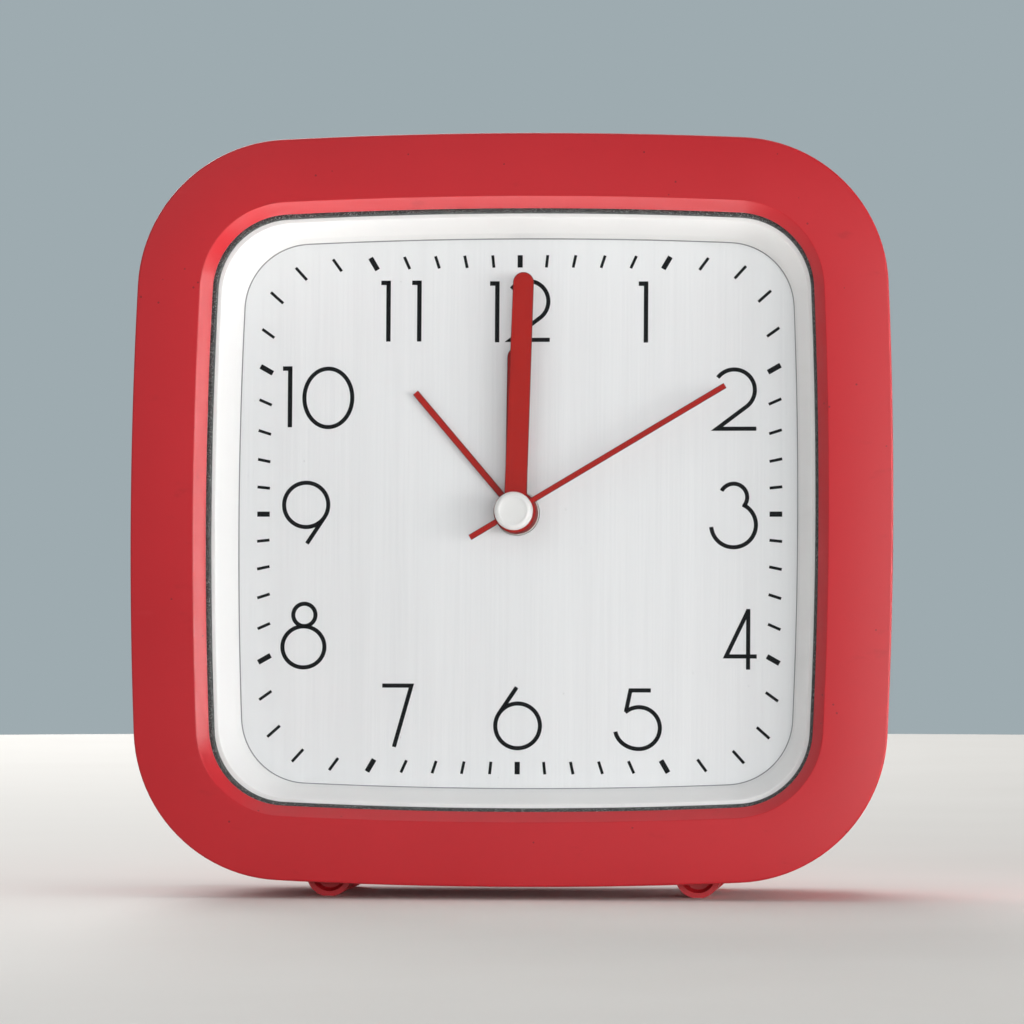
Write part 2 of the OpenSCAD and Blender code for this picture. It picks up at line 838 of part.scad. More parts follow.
module alarm_hand() {
  color(red)
    hand(alarm_len, alarm_w, alarm_w, eye_r, alarm_pipe, alarm_hand_h, alarm_rest);
}

module hour_hand() {
  color(red)
    hand(hour_len, hour_w, hour_w, eye_r, hour_pipe, hour_hand_h, hour_rest);
}

module minute_hand() {
  color(red)
    hand(minute_len, minute_w, minute_tip_w, eye_r, minute_pipe, minute_hand_h, minute_rest);
}

module second_hand() {
  color(red)
    stand()
      rotate([0, 0, -second_rest])
        translate([0, 0, second_hand_h])
          linear_extrude(hand_t)
            difference() {
              union() {
                translate([-second_w / 2, -second_tail])
                  square([second_w, second_tail + second_len]);
                circle(r = second_eye_r);
              }
              circle(r = arbor_r + push_play);
            }
}

// White cap on the end of the seconds arbor
module hub_cap() {
  top = cap_z + cap_h;
  color(white)
    stand()
      difference() {
        rotate_extrude()
          polygon([
            [0, cap_z], [cap_r, cap_z], [cap_r, top - 0.5], [cap_r - 0.15, top - 0.2], [cap_r - 0.45, top],
            [cap_r - 0.8, top - 0.05], [cap_r - 1.3, top - 0.25], [0, top - 0.3]
          ]);
        rod(arbor_r + push_play, cap_z - eps, cap_z + cap_h / 2);
      }
}

// Front plate of the movement with the bush for the hands
module movement_front() {
  bores = [third_p, fifth_p, rotor_p, motion_p, alarm_p];
  color(black)
    stand()
      difference() {
        union() {
          block(-box_hw, box_hw, box_bottom, box_top, front_back, carrier_back);
          rod(bush_r, front_back, bush_top);
          at(contact_p)
            rod(contact_post, lev_hour - wheel_t / 2 - 0.3, front_back + eps);
        }
        rod(bush_bore, front_back - eps, bush_top + eps);
        for (p = bores)
          at(p)
            rod(arbor_r + run_play, front_back - eps, front_back + pivot_depth);
      }
}

// Movement box with the wheel bearings, the coil posts and the battery tray
module movement_rear() {
  in_x = box_hw - box_wall;
  color(black)
    stand()
      difference() {
        union() {
          difference() {
            union() {
              block(-box_hw, box_hw, box_bottom, box_top, rear_back, front_back);
              block(-box_hw, box_hw, box_bottom, gear_bottom, tray_back, front_back);
              for (y = ear_y)
                for (s = [-1, 1]) {
                  at([s * ear_x, y])
                    rod(ear_r, front_back - ear_t, front_back);
                  translate([0, y, 0])
                    block(min(s * (box_hw - eps), s * ear_x), max(s * (box_hw - eps), s * ear_x), -ear_r, ear_r,
                      front_back - ear_t, front_back);
                }
            }
            block(-in_x, in_x, gear_bottom, box_top - box_wall, rear_front, front_back + eps);
            block(-in_x, in_x, box_bottom + box_wall, tray_top, tray_floor + box_wall, front_back + eps);
            block(tray_x0, tray_x1, cell_y - tray_half, tray_top, tray_back - eps, tray_floor);
          }
          for (p = [pin_top, pin_low])
            at(p) {
              rod(post_r, rear_front - eps, stator_z);
              rod(pin_r, rear_front - eps, core_z + stator_t + 0.3);
            }
          for (p = [[board_x0 + 1.8, board_y1 - 1.8], [board_x1 - 1.8, board_y0 + 1.8]])
            at(p)
              rod(1.2, rear_front - eps, board_back);
        }
        rod(arbor_r + run_play, rear_front - pivot_depth, rear_front + eps);
        for (p = [third_p, fifth_p, rotor_p])
          at(p)
            rod(arbor_r + run_play, rear_front - pivot_depth, rear_front + eps);
        for (p = [motion_p, alarm_p])
          at(p)
            rod(shaft_r + run_play, rear_back - eps, rear_front + eps);
        at(buzzer_p)
          rod(buzzer_r + 0.4, rear_back - eps, rear_front + eps);
        translate([switch_p[0], switch_p[1], 0])
          block(-panel_slot / 2 - 0.4, panel_slot / 2 + 0.4, -stem_w / 2 - 0.4, stem_w / 2 + 0.4, rear_back - eps, rear_front + eps);
        for (y = ear_y)
          for (s = [-1, 1])
            at([s * ear_x, y])
              rod(small_screw_r + 0.2, front_back - ear_t - eps, front_back + eps);
      }
}

// Four screws that hold the movement to the carrier
module movement_screws() {
  slot_w = 0.4;
  head_z = front_back - ear_t;
  color(steel)
    stand()
      for (y = ear_y)
        for (s = [-1, 1])
          at([s * ear_x, y])
            difference() {
              union() {
                rod(small_head_r, head_z - small_head_h, head_z);
                rod(small_screw_r, head_z - eps, dial_back - 0.6);
              }
              for (a = [0, 90])
                rotate([0, 0, a])
                  block(-small_head_r * 0.7, small_head_r * 0.7, -slot_w / 2, slot_w / 2, head_z - small_head_h - eps, head_z - 0.6);
            }
}

// Alarm wheel with its pipe
module alarm_wheel() {
  color(cream)
    stand()
      difference() {
        union() {
          wheel(alarm_teeth, motion_m, alarm_dir, lev_alarm);
          rod(alarm_pipe, lev_alarm, alarm_hand_h + hand_t + pipe_over);
          rod(alarm_pipe + 0.6, lev_alarm, front_back - 0.3);
        }
        rod(alarm_bore, lev_alarm - wheel_t, alarm_hand_h + hand_t + 1);
      }
}

// Hour wheel with its pipe
module hour_wheel() {
  color(cream)
    stand()
      difference() {
        union() {
          wheel(hour_teeth, hour_m, motion_dir, lev_hour);
          rod(hour_pipe, lev_hour, hour_hand_h + hand_t + pipe_over);
          rod(hour_pipe + 0.6, lev_hour, lev_alarm - wheel_t / 2 - 0.2);
        }
        rod(hour_bore, lev_hour - wheel_t, hour_hand_h + hand_t + 1);
      }
}

// Cannon pinion that carries the minute hand and the slipping centre wheel
module cannon_pinion() {
  low = lev_centre - wheel_t / 2 - 0.5;
  color(cream)
    stand()
      difference() {
        union() {
          pinion(cannon_teeth, motion_m, motion_dir, lev_motion);
          rod(minute_pipe, low, minute_hand_h + hand_t + pipe_over);
          rod(minute_pipe + 0.7, low, low + 0.4);
          rod(minute_pipe + 0.6, lev_motion, lev_hour - wheel_t / 2 - 0.2);
        }
        rod(minute_bore, low - eps, minute_hand_h + hand_t + 1);
      }
}

// Friction washer of the setting clutch
module clutch_washer() {
  top = lev_motion - (wheel_t + pinion_extra) / 2;
  color(steel)
    stand()
      difference() {
        rod(minute_pipe + 1, lev_centre + wheel_t / 2 + 0.05, top - 0.05);
        rod(minute_pipe + run_play, lev_centre, top);
      }
}

// Centre wheel, turned by the third wheel
module centre_wheel() {
  color(cream)
    stand()
      difference() {
        wheel(centre_teeth, centre_m, third_dir, lev_centre);
        rod(minute_pipe + run_play, lev_centre - wheel_t, lev_centre + wheel_t);
      }
}

// Third wheel with its pinion
module third_wheel() {
  color(cream)
    stand()
      at(third_p) {
        rod(arbor_r, rear_pivot, front_pivot);
        wheel(third_teeth, train_m, third_dir + 180 + 180 / third_teeth, lev_third);
        pinion(third_pinion, centre_m, third_dir + 180 + 180 / third_pinion, lev_centre);
        rod(third_neck, rear_front + 0.3, lev_third);
      }
}

// Seconds wheel with its pinion on the long arbor
module seconds_wheel() {
  color(cream)
    stand() {
      rod(arbor_r, rear_pivot, cap_z + cap_h / 2 - 0.1);
      wheel(seconds_teeth, train_m, fifth_dir, lev_seconds);
      pinion(seconds_pinion, train_m, third_dir, lev_third);
      rod(arbor_r + 0.4, rear_front + 0.3, lev_seconds);
    }
}

// Fifth wheel with its pinion
module fifth_wheel() {
  color(cream)
    stand()
      at(fifth_p) {
        rod(arbor_r, rear_pivot, front_pivot);
        wheel(fifth_teeth, train_m, rotor_dir, lev_fifth);
        pinion(fifth_pinion, train_m, fifth_dir + 180 + 180 / fifth_pinion, lev_seconds);
        rod(arbor_r + 0.4, rear_front + 0.3, lev_fifth);
      }
}

// Rotor pinion with the hub for the magnet
module rotor_pinion() {
  color(cream)
    stand()
      at(rotor_p) {
        rod(arbor_r, rear_pivot, front_pivot);
        pinion(rotor_teeth, train_m, rotor_dir + 180 + 180 / rotor_teeth, lev_fifth);
        rod(arbor_r + 0.5, lev_centre - magnet_h / 2, lev_centre + magnet_h / 2 + 0.4);
        rod(arbor_r + 0.9, lev_centre - magnet_h / 2 - 0.6, lev_centre - magnet_h / 2);
      }
}

// Rotor magnet
module rotor_magnet() {
  color(steel)
    stand()
      at(rotor_p)
        difference() {
          rod(magnet_r, lev_centre - magnet_h / 2, lev_centre + magnet_h / 2);
          rod(arbor_r + 0.5 + push_play, lev_centre - magnet_h, lev_centre + magnet_h);
        }
}

// Stator sheet round the rotor, reaching to both ends of the coil core
module stator() {
  arm = magnet_r + air_gap + 1;
  color(steel)
    stand()
      translate([0, 0, stator_z])
        linear_extrude(stator_t)
          difference() {
            union() {
              translate(rotor_p)
                circle(r = stator_ring);
              strip(rotor_p + [0, arm - 0.2], pin_top, stator_w);
              strip(rotor_p - [0, arm - 0.2], pin_low, stator_w);
            }
            translate(rotor_p)
              circle(r = magnet_r + air_gap);
            for (p = [pin_top, pin_low])
              translate(p)
                circle(r = pin_r + thread_play);
            for (s = [-1, 1])
              translate(rotor_p + [s * (stator_ring + 0.2), 0])
                circle(r = 0.9);
          }
}

// Core of the coil, staked on the two posts
module coil_core() {
  color(steel)
    stand()
      translate([0, 0, core_z])
        linear_extrude(stator_t)
          difference() {
            strip(pin_low, pin_top, core_w);
            for (p = [pin_top, pin_low])
              translate(p)
                circle(r = pin_r + thread_play);
          }
}

// Bobbin round the core
module coil_bobbin() {
  tube_r = sqrt(core_w * core_w + stator_t * stator_t) / 2 + 0.5;
  color(white)
    stand()
      translate([coil_x, coil_y, core_mid])
        rotate([-90, 0, 0])
          difference() {
            union() {
              translate([0, 0, -coil_len / 2 - flange_len])
                cylinder(r = tube_r, h = coil_len + 2 * flange_len);
              for (z = [-coil_len / 2 - flange_len, coil_len / 2])
                translate([0, 0, z])
                  cylinder(r = coil_r + 0.4, h = flange_len);
            }
            translate([-core_w / 2 - 0.05, -stator_t / 2 - 0.05, -coil_len])
              cube([core_w + 0.1, stator_t + 0.1, 2 * coil_len]);
          }
}

// Copper winding on the bobbin
module coil_winding() {
  tube_r = sqrt(core_w * core_w + stator_t * stator_t) / 2 + 0.5;
  color(copper)
    stand()
      translate([coil_x, coil_y, core_mid])
        rotate([-90, 0, 0])
          difference() {
            translate([0, 0, -coil_len / 2])
              cylinder(r = coil_r, h = coil_len);
            translate([0, 0, -coil_len])
              cylinder(r = tube_r + push_play, h = 2 * coil_len);
          }
}

// Circuit board on its two posts
module circuit_board() {
  color(green)
    stand()
      block(board_x0, board_x1, board_y0, board_y1, board_back, board_front);
}

// Tuning-fork crystal in its can, lying on the board
module quartz_crystal() {
  can_r = 1;
  color(steel)
    stand()
      translate([board_x0 + can_r + 1.8, 4, board_front + can_r])
        rotate([-90, 0, 0])
          cylinder(r = can_r, h = 6.2);
}

// Potted driver chip
module driver_chip() {
  color(black)
    stand()
      at([board_x1 - 4.8, 0])
        rod(2.6, board_front, board_front + 1);
}

// Sounder on the back of the board
module buzzer() {
  color(black)
    stand()
      at(buzzer_p)
        difference() {
          rod(buzzer_r, buzzer_end, board_back);
          rod(1, buzzer_end - eps, buzzer_end + 1);
        }
}

// Spring blade that senses the hour wheel
module alarm_contact() {
  tip = [-3.6 - minute_pipe, 1.6];
  z = lev_hour - wheel_t / 2 - 0.5;
  color(brass)
    stand()
      translate([0, 0, z])
        linear_extrude(0.2)
          strip(contact_p, tip, 2.2);
}

// Size AA cell
module battery() {
  color(steel)
    stand()
      translate([cell_x0, cell_y, cell_z])
        rotate([0, 90, 0]) {
          cylinder(r = cell_r, h = cell_len);
          cylinder(r = 2.75, h = cell_len + nub_len);
        }
}

// Contact plate at the nub end of the tray
module positive_contact() {
  half = 5;
  color(steel)
    stand()
      block(tray_x1 - contact_t, tray_x1, cell_y - half, cell_y + half, cell_z - half, tray_floor);
}

// Bent leaf at the flat end of the tray
module negative_contact() {
  half = 4;
  tall = cell_r - 1.25;
  g = leaf_gap;
  t = contact_t;
  color(steel)
    stand()
      translate([tray_x0, cell_y + half, cell_z])
        rotate([90, 0, 0])
          linear_extrude(2 * half) {
            translate([0, -tall])
              square([t, 2 * tall]);
            polygon([
              [0, tall - 0.4], [0, tall - 1.5], [g - t, 0.6], [g - t, -0.6], [max(0, 0.4 * g - t), 2.4 - tall],
              [0.4 * g, 2 - tall], [g, -1], [g, 1]
            ]);
          }
}

// Motion wheel on the time setting shaft
module motion_wheel() {
  color(cream)
    stand()
      at(motion_p) {
        rod(arbor_r, front_back - 0.5, front_pivot);
        rod(shaft_r, shaft_end, front_back - 0.3);
        wheel(motion_teeth, motion_m, motion_dir + 180 + 180 / motion_teeth, lev_motion);
        pinion(motion_pinion, hour_m, motion_dir + 180 + 180 / motion_pinion, lev_hour);
        rod(motion_neck, rear_front + 0.3, lev_motion);
      }
}

// Shaft and pinion that set the alarm
module alarm_shaft() {
  color(cream)
    stand()
      at(alarm_p) {
        rod(arbor_r, front_back - 0.5, front_pivot);
        rod(shaft_r, shaft_end, front_back - 0.3);
        pinion(setting_teeth, motion_m, alarm_dir + 180 + 180 / setting_teeth, lev_alarm);
        rod(shaft_r + 0.6, rear_front + 0.3, lev_alarm - (wheel_t + pinion_extra) / 2 + eps);
      }
}

// Fluted setting knob
module knob(p) {
  flutes = 12;
  stand()
    at(p)
      difference() {
        union() {
          rod(knob_r, knob_end + 0.6, knob_top);
          translate([0, 0, knob_end])
            cylinder(r1 = knob_r - 0.6, r2 = knob_r, h = 0.6 + eps);
        }
        rod(shaft_r + push_play, knob_bore_end, knob_top + eps);
        for (i = [0 : flutes - 1])
          rotate([0, 0, 360 / flutes * i])
            translate([knob_r + flute_r * 0.4, 0, 0])
              rod(flute_r * 1.4, knob_end - 1, knob_top - 1);
      }
}

module time_knob() {
  color(black)
    knob(motion_p);
}

module alarm_knob() {
  color(black)
    knob(alarm_p);
}

// Sliding alarm switch, at rest at the off end of its slot
module alarm_switch() {
  rest = -switch_travel / 2;
  fw = switch_w / 2 + 0.6;
  color(black)
    stand()
      translate([switch_p[0] + rest, switch_p[1], 0]) {
        block(-switch_len / 2, switch_len / 2, -switch_w / 2, switch_w / 2, back_z - 1.7, back_z - 0.1);
        block(-stem_w / 2, stem_w / 2, -stem_w / 2, stem_w / 2, back_z - 0.2, panel_z + 0.2);
        block(-flange_pad, flange_pad, -fw, fw, panel_z + 0.1, panel_z + 0.1 + flange_t);
        block(-stem_w / 2, stem_w / 2, -stem_w / 2, stem_w / 2, panel_z + 0.2, prong_end);
      }
}

front_bezel();
lens();
lens_gasket();
dial_ring();
dial();
dial_carrier();
rear_case();
battery_door();
case_screws();
alarm_hand();
hour_hand();
minute_hand();
second_hand();
hub_cap();
movement_front();
movement_rear();
movement_screws();
alarm_wheel();
hour_wheel();
cannon_pinion();
clutch_washer();
centre_wheel();
third_wheel();
seconds_wheel();
fifth_wheel();
rotor_pinion();
rotor_magnet();
stator();
coil_core();
coil_bobbin();
coil_winding();
circuit_board();
quartz_crystal();
driver_chip();
buzzer();
alarm_contact();
battery();
positive_contact();
negative_contact();
motion_wheel();
time_knob();
alarm_shaft();
alarm_knob();
alarm_switch();
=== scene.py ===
# %% [markdown]
# # A bedside alarm clock, dressed from its CAD frame
# The clock is already packed as an exact assembly: a red frame, a lens, a white ring, a dial, four hands and
# a battery movement. This lesson keeps that frame as it is and gives each piece its finish. Where the CAD
# shape is only a coarse loft, a finer surface is worked out with numpy and stands for it.

# %% Load the frame
import json

import bmesh
import bpy
import numpy as np
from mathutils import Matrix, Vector

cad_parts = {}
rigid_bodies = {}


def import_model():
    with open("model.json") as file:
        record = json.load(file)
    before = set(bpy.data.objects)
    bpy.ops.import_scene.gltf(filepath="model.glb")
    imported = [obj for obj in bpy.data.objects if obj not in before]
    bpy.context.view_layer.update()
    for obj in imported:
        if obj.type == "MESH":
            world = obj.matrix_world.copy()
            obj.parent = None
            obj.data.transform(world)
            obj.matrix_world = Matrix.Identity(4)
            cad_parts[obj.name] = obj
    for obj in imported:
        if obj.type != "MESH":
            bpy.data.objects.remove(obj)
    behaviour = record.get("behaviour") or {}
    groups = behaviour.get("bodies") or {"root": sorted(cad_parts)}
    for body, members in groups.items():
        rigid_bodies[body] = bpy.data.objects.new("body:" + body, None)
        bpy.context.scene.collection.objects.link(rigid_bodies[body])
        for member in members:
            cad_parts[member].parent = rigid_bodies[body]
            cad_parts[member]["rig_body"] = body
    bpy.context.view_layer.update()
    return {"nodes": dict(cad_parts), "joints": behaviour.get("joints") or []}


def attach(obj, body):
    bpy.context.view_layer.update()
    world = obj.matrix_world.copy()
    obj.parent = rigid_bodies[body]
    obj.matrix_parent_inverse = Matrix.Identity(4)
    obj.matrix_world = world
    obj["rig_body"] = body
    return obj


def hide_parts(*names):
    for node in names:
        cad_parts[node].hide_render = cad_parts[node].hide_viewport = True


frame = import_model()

# %% [markdown]
# ## One set of axes for the whole clock
# The clock leans back a few degrees on its feet, so nothing on it is square to the room. It is easier to
# draw it face-up and in millimetres: x to the right, y towards twelve o'clock, z out of the dial. The seconds
# hinge of the frame gives the hub and the direction of the face, so the drawing is stood up by measuring,
# not by typing the lean again.

# %% Clock axes from the seconds hinge
MM = 0.001
hinge = next(joint for joint in frame["joints"] if joint["name"] == "second_turn")
HUB = np.array(hinge["pos_m"])
FRONT = -np.array(hinge["axis"]) / np.linalg.norm(hinge["axis"])
RIGHT = np.array([1.0, 0.0, 0.0])
UP = np.cross(FRONT, RIGHT)


def stood(points):
    """Frame metres of points in clock millimetres: hub + x times right + y times up + z times front."""
    return HUB + MM * (points[..., :1] * RIGHT + points[..., 1:2] * UP + points[..., 2:3] * FRONT)


def span(node):
    """Lowest and highest corner of a CAD node in clock millimetres, to a thousandth: its points minus the
    hub, projected on the three axes."""
    mesh = frame["nodes"][node].data
    points = np.empty(len(mesh.vertices) * 3)
    mesh.vertices.foreach_get("co", points)
    local = (points.reshape(-1, 3) - HUB) @ np.stack([RIGHT, UP, FRONT], axis=1) / MM
    return local.min(0).round(3), local.max(0).round(3)


bezel_low, bezel_high = span("front_bezel")
print("lean:", round(float(np.degrees(np.arcsin(FRONT[2]))), 2), "degrees")
print("front frame from", bezel_low, "to", bezel_high, "mm")

# %% [markdown]
# ## A small language for shaders
# A finish is easier to read as a formula than as a wall of boxes. One class wraps a socket so that plain
# arithmetic adds Math nodes, and one method adds every other kind of node. Positions are read in Object
# coordinates, scaled to millimetres, so a grain of 0.2 is a fifth of a millimetre on the real clock.


# %% Sockets with arithmetic
class Value:
    """A shader socket: an expression such as 1 - a * b adds one Math node for each operator."""

    def __init__(self, tree, socket):
        self.tree = tree
        self.socket = socket

    def math(self, operation, *terms):
        """One Math node that applies the operation to the terms, in their order."""
        return self.tree.node("ShaderNodeMath", {"operation": operation}, dict(enumerate(terms)))

    def __add__(self, other):
        return self.math("ADD", self, other)

    def __radd__(self, other):
        return self.math("ADD", other, self)

    def __sub__(self, other):
        return self.math("SUBTRACT", self, other)

    def __rsub__(self, other):
        return self.math("SUBTRACT", other, self)

    def __mul__(self, other):
        return self.math("MULTIPLY", self, other)

    def __rmul__(self, other):
        return self.math("MULTIPLY", other, self)

    def __pow__(self, other):
        return self.math("POWER", self, other)

    def __gt__(self, other):
        return self.math("GREATER_THAN", self, other)

    def __lt__(self, other):
        return self.math("LESS_THAN", self, other)

    def smooth(self, low, high):
        """0 below low, 1 above high, and an even S between them."""
        return self.tree.node("ShaderNodeMapRange", {"interpolation_type": "SMOOTHSTEP"},
                              {"Value": self, "From Min": low, "From Max": high})


print("a socket now takes + - * ** < and >")


# %% Node trees
class Tree:
    """A node tree in which one method adds every node."""

    def __init__(self, node_tree):
        self.tree = node_tree

    def node(self, kind, settings=None, sockets=None, out=0):
        """Adds a node of that kind, sets its settings, then its socket values or links, and returns one of
        its outputs."""
        node = self.tree.nodes.new(kind)
        for key, value in (settings or {}).items():
            setattr(node, key, value)
        for key, value in (sockets or {}).items():
            self.feed(node.inputs[key], value)
        return Value(self, node.outputs[out])

    def feed(self, socket, value):
        """Links a Value to a socket, or sets the socket to a plain number, vector or colour."""
        if isinstance(value, Value):
            self.tree.links.new(value.socket, socket)
        else:
            socket.default_value = value


# %% Finishes
class Finish(Tree):
    """A named material that ends in its Principled shader, whose sockets take the constants directly."""

    def __init__(self, name, **constants):
        self.material = bpy.data.materials.new(name)
        self.material.use_nodes = True
        super().__init__(self.material.node_tree)
        self.shader = self.tree.nodes["Principled BSDF"]
        for key, value in constants.items():
            self.shader.inputs[key.replace("_", " ")].default_value = value
        metres = self.node("ShaderNodeTexCoord", out="Object")
        self.place = self.node("ShaderNodeVectorMath", {"operation": "SCALE"}, {0: metres, "Scale": 1 / MM})

    def mix(self, factor, a, b):
        """Colour a where factor is 0 and colour b where it is 1."""
        return self.node("ShaderNodeMix", {"data_type": "RGBA"}, {0: factor, 6: a, 7: b}, out=2)

    def stretch(self, x, y, z):
        """Millimetre place times a factor on each axis, for grain that runs one way."""
        return self.node("ShaderNodeVectorMath", {"operation": "MULTIPLY"}, {0: self.place, 1: (x, y, z)})

    def noise(self, size, detail=2.0, place=None):
        """Cloudy noise from 0 to 1 whose lumps are about size millimetres."""
        return self.node("ShaderNodeTexNoise", None,
                         {"Vector": place or self.place, "Scale": 1.0 / size, "Detail": detail})

    def specks(self, spacing, radius):
        """1 inside sparse dots of that radius, one for each cell of that spacing, in millimetres."""
        distance = self.node("ShaderNodeTexVoronoi", None, {"Vector": self.place, "Scale": 1.0 / spacing})
        return distance < radius / spacing

    def bump(self, height, strength, depth):
        """Normal of a surface that rises by height times depth millimetres."""
        return self.node("ShaderNodeBump", None,
                         {"Strength": strength, "Distance": depth * MM, "Height": height})

    def ends(self, **sockets):
        """Feeds the Principled shader's sockets, named with _ for a space, and returns the material."""
        for key, value in sockets.items():
            self.feed(self.shader.inputs[key.replace("_", " ")], value)
        print(f"finish {self.material.name}: {len(self.tree.nodes)} nodes")
        return self.material


# %% Screen colours
def tone(r, g, b):
    """Linear colour of an 8-bit screen colour: each channel over 255, with the screen's curve undone."""
    c = np.array([r, g, b]) / 255.0
    linear = np.where(c <= 0.04045, c / 12.92, ((c + 0.055) / 1.055) ** 2.4)
    return (*linear.tolist(), 1.0)


print("screen grey 128 is", round(tone(128, 128, 128)[0], 3), "of the light of white")

# %% [markdown]
# ## Red frame paint
# The front frame is sprayed in a matte, slightly soft red. Close up it has a very fine grain, faint cloudy
# differences, darker scuffs, some light rubs and a few dust specks caught in the spray. Each is noise at its
# own scale, laid over one red. A photograph of real paint would do too, but noise has no seams and no limit
# to how close one may look.


# %% Frame red
def frame_red():
    """Two reds in slow clouds, darkened by scuffs, lightened by rubs and dotted with dust. Roughness rises
    with the clouds and falls on the rubs, and a fine grain is the bump."""
    f = Finish("frame_red", Specular_IOR_Level=0.4, Sheen_Weight=0.04, Sheen_Roughness=0.5)
    cloud = f.noise(24, 3)
    rub = f.noise(5, 4, f.stretch(0.25, 1.0, 1.0)).smooth(0.66, 0.8)
    scuff = f.noise(3, 4, f.stretch(0.45, 1.0, 1.0)).smooth(0.64, 0.78)
    dust = f.specks(2.2, 0.16) * (f.noise(9) > 0.56)
    colour = f.mix(cloud, tone(177, 18, 28), tone(189, 26, 36))
    colour = f.mix(scuff * 0.3, colour, tone(138, 10, 18))
    colour = f.mix(rub * 0.12, colour, tone(226, 96, 100))
    colour = f.mix(dust * 0.75, colour, tone(84, 12, 18))
    return f.ends(Base_Color=colour, Roughness=0.35 + 0.07 * cloud - 0.05 * rub,
                  Normal=f.bump(f.noise(0.16, 2), 0.35, 0.02))


red_paint = frame_red()

# %% [markdown]
# ## Rear shell plastic
# The rear shell isn't painted. It is the moulded plastic itself: nearly the same red, glossier, with the
# grain that is etched into the mould and faint lines where the plastic flowed.


# %% Shell red
def shell_red():
    """Two close reds in clouds with dust dots. Roughness follows flow lines, which are noise drawn out five
    times along x, and a mould grain is the bump."""
    f = Finish("shell_red", Specular_IOR_Level=0.5)
    cloud = f.noise(18, 3)
    flow = f.noise(6, 3, f.stretch(0.2, 1.0, 1.0))
    dust = f.specks(3.0, 0.12) * (f.noise(11) > 0.55)
    colour = f.mix(cloud, tone(188, 26, 36), tone(204, 36, 44))
    colour = f.mix(dust * 0.6, colour, tone(110, 14, 20))
    return f.ends(Base_Color=colour, Roughness=0.3 + 0.12 * flow, Normal=f.bump(f.noise(0.3, 3), 0.3, 0.02))


red_plastic = shell_red()

# %% [markdown]
# ## Whites, silver and ink
# The ring is glossy white plastic with the faint waviness of a moulding. The hub's cap is the same white made
# slightly greyer, which is painted shade. The dial is a thin plate with a satin, vertically brushed coat:
# noise stretched a hundredfold along the brushing gives lines. Its print is plain black ink. A thin grey line
# along the ring's foot is painted shade of the gap between ring and dial.


# %% Gloss white
def gloss_white(name, dark, light):
    """Cloudy mix of two whites with a few specks, whose roughness and coat weight follow slow waves."""
    f = Finish(name, Specular_IOR_Level=0.5, Coat_Roughness=0.08)
    wave = f.noise(7, 2)
    colour = f.mix(f.noise(15, 3), tone(*dark), tone(*light))
    colour = f.mix(f.specks(4.0, 0.1) * 0.5, colour, tone(150, 148, 144))
    return f.ends(Base_Color=colour, Roughness=0.28 + 0.06 * wave, Coat_Weight=0.25 + 0.1 * wave,
                  Normal=f.bump(f.noise(0.5, 2), 0.12, 0.02))


ring_white = gloss_white("ring_white", (240, 240, 239), (247, 247, 245))
# The cap is the ring's white made greyer: painted shade.
shaded_cap_white = gloss_white("shaded_cap_white", (222, 222, 220), (230, 230, 228))


# %% Dial silver
def dial_silver():
    """Two silvers mixed by fine brushing and broad bands, both noise drawn out up the dial, with dust dots.
    The bands also sway how metallic it is, and the brushing sets roughness and bump."""
    f = Finish("dial_silver", Specular_IOR_Level=0.4)
    brushing = f.noise(1.0, 3, f.stretch(5.0, 0.05, 0.05))
    bands = f.noise(1.0, 2, f.stretch(0.22, 0.004, 0.004))
    dust = f.specks(2.5, 0.1) * (f.noise(10) > 0.55)
    colour = f.mix(0.55 * brushing + 0.45 * bands, tone(221, 222, 223), tone(241, 242, 242))
    colour = f.mix(dust * 0.5, colour, tone(140, 140, 140))
    return f.ends(Base_Color=colour, Metallic=0.15 + 0.1 * bands, Roughness=0.36 + 0.12 * brushing,
                  Normal=f.bump(brushing, 0.12, 0.02))


silver_brushed = dial_silver()


# %% Inks and painted gap shade
def ink(name, dark, light):
    """Two close tones mixed by a fine grain, which also sets the roughness."""
    f = Finish(name, Specular_IOR_Level=0.12)
    grain = f.noise(0.2, 2)
    return f.ends(Base_Color=f.mix(grain, tone(*dark), tone(*light)), Roughness=0.4 + 0.2 * grain)


black_ink = ink("ink_black", (3, 3, 4), (9, 9, 10))
# The grey is painted shade of the gap between ring and dial, made with the same recipe as the ink.
gap_shade_finish = ink("painted_gap_shade", (140, 140, 142), (156, 156, 158))

# %% [markdown]
# ## Hands, bead and lens
# The hands are stamped sheet in red enamel, darker than the frame, with painted shade on their edges: the
# enamel turns dark red along each edge and side wall. The bead that seals the window is dark foam, so it is
# speckled. The lens is clear: it shows the dial, and only its reflection adds anything. A pane that mirrors
# with the strength of its reflection and is see-through elsewhere lets light and shadow reach the dial, which
# a full glass shader would not.


# %% Hand red
def hand_red():
    """Two reds in clouds with dust dots, and painted shade: a dark red where the hand's own rim attribute
    nears 1.
    """
    f = Finish("hand_red", Specular_IOR_Level=0.22)
    cloud = f.noise(6, 3)
    dust = f.specks(1.1, 0.1) * (f.noise(5) > 0.55)
    # Painted shade: the enamel turns dark red where the rim attribute marks the edge and side walls.
    edge = f.node("ShaderNodeAttribute", {"attribute_name": "rim"}, out="Fac").smooth(0.2, 1.0)
    colour = f.mix(cloud, tone(160, 17, 8), tone(174, 25, 12))
    colour = f.mix(dust * 0.7, colour, tone(70, 8, 8))
    colour = f.mix(edge * 0.75, colour, tone(84, 14, 12))
    return f.ends(Base_Color=colour, Roughness=0.34 + 0.12 * cloud,
                  Normal=f.bump(f.noise(0.2, 2), 0.2, 0.015))


red_enamel = hand_red()


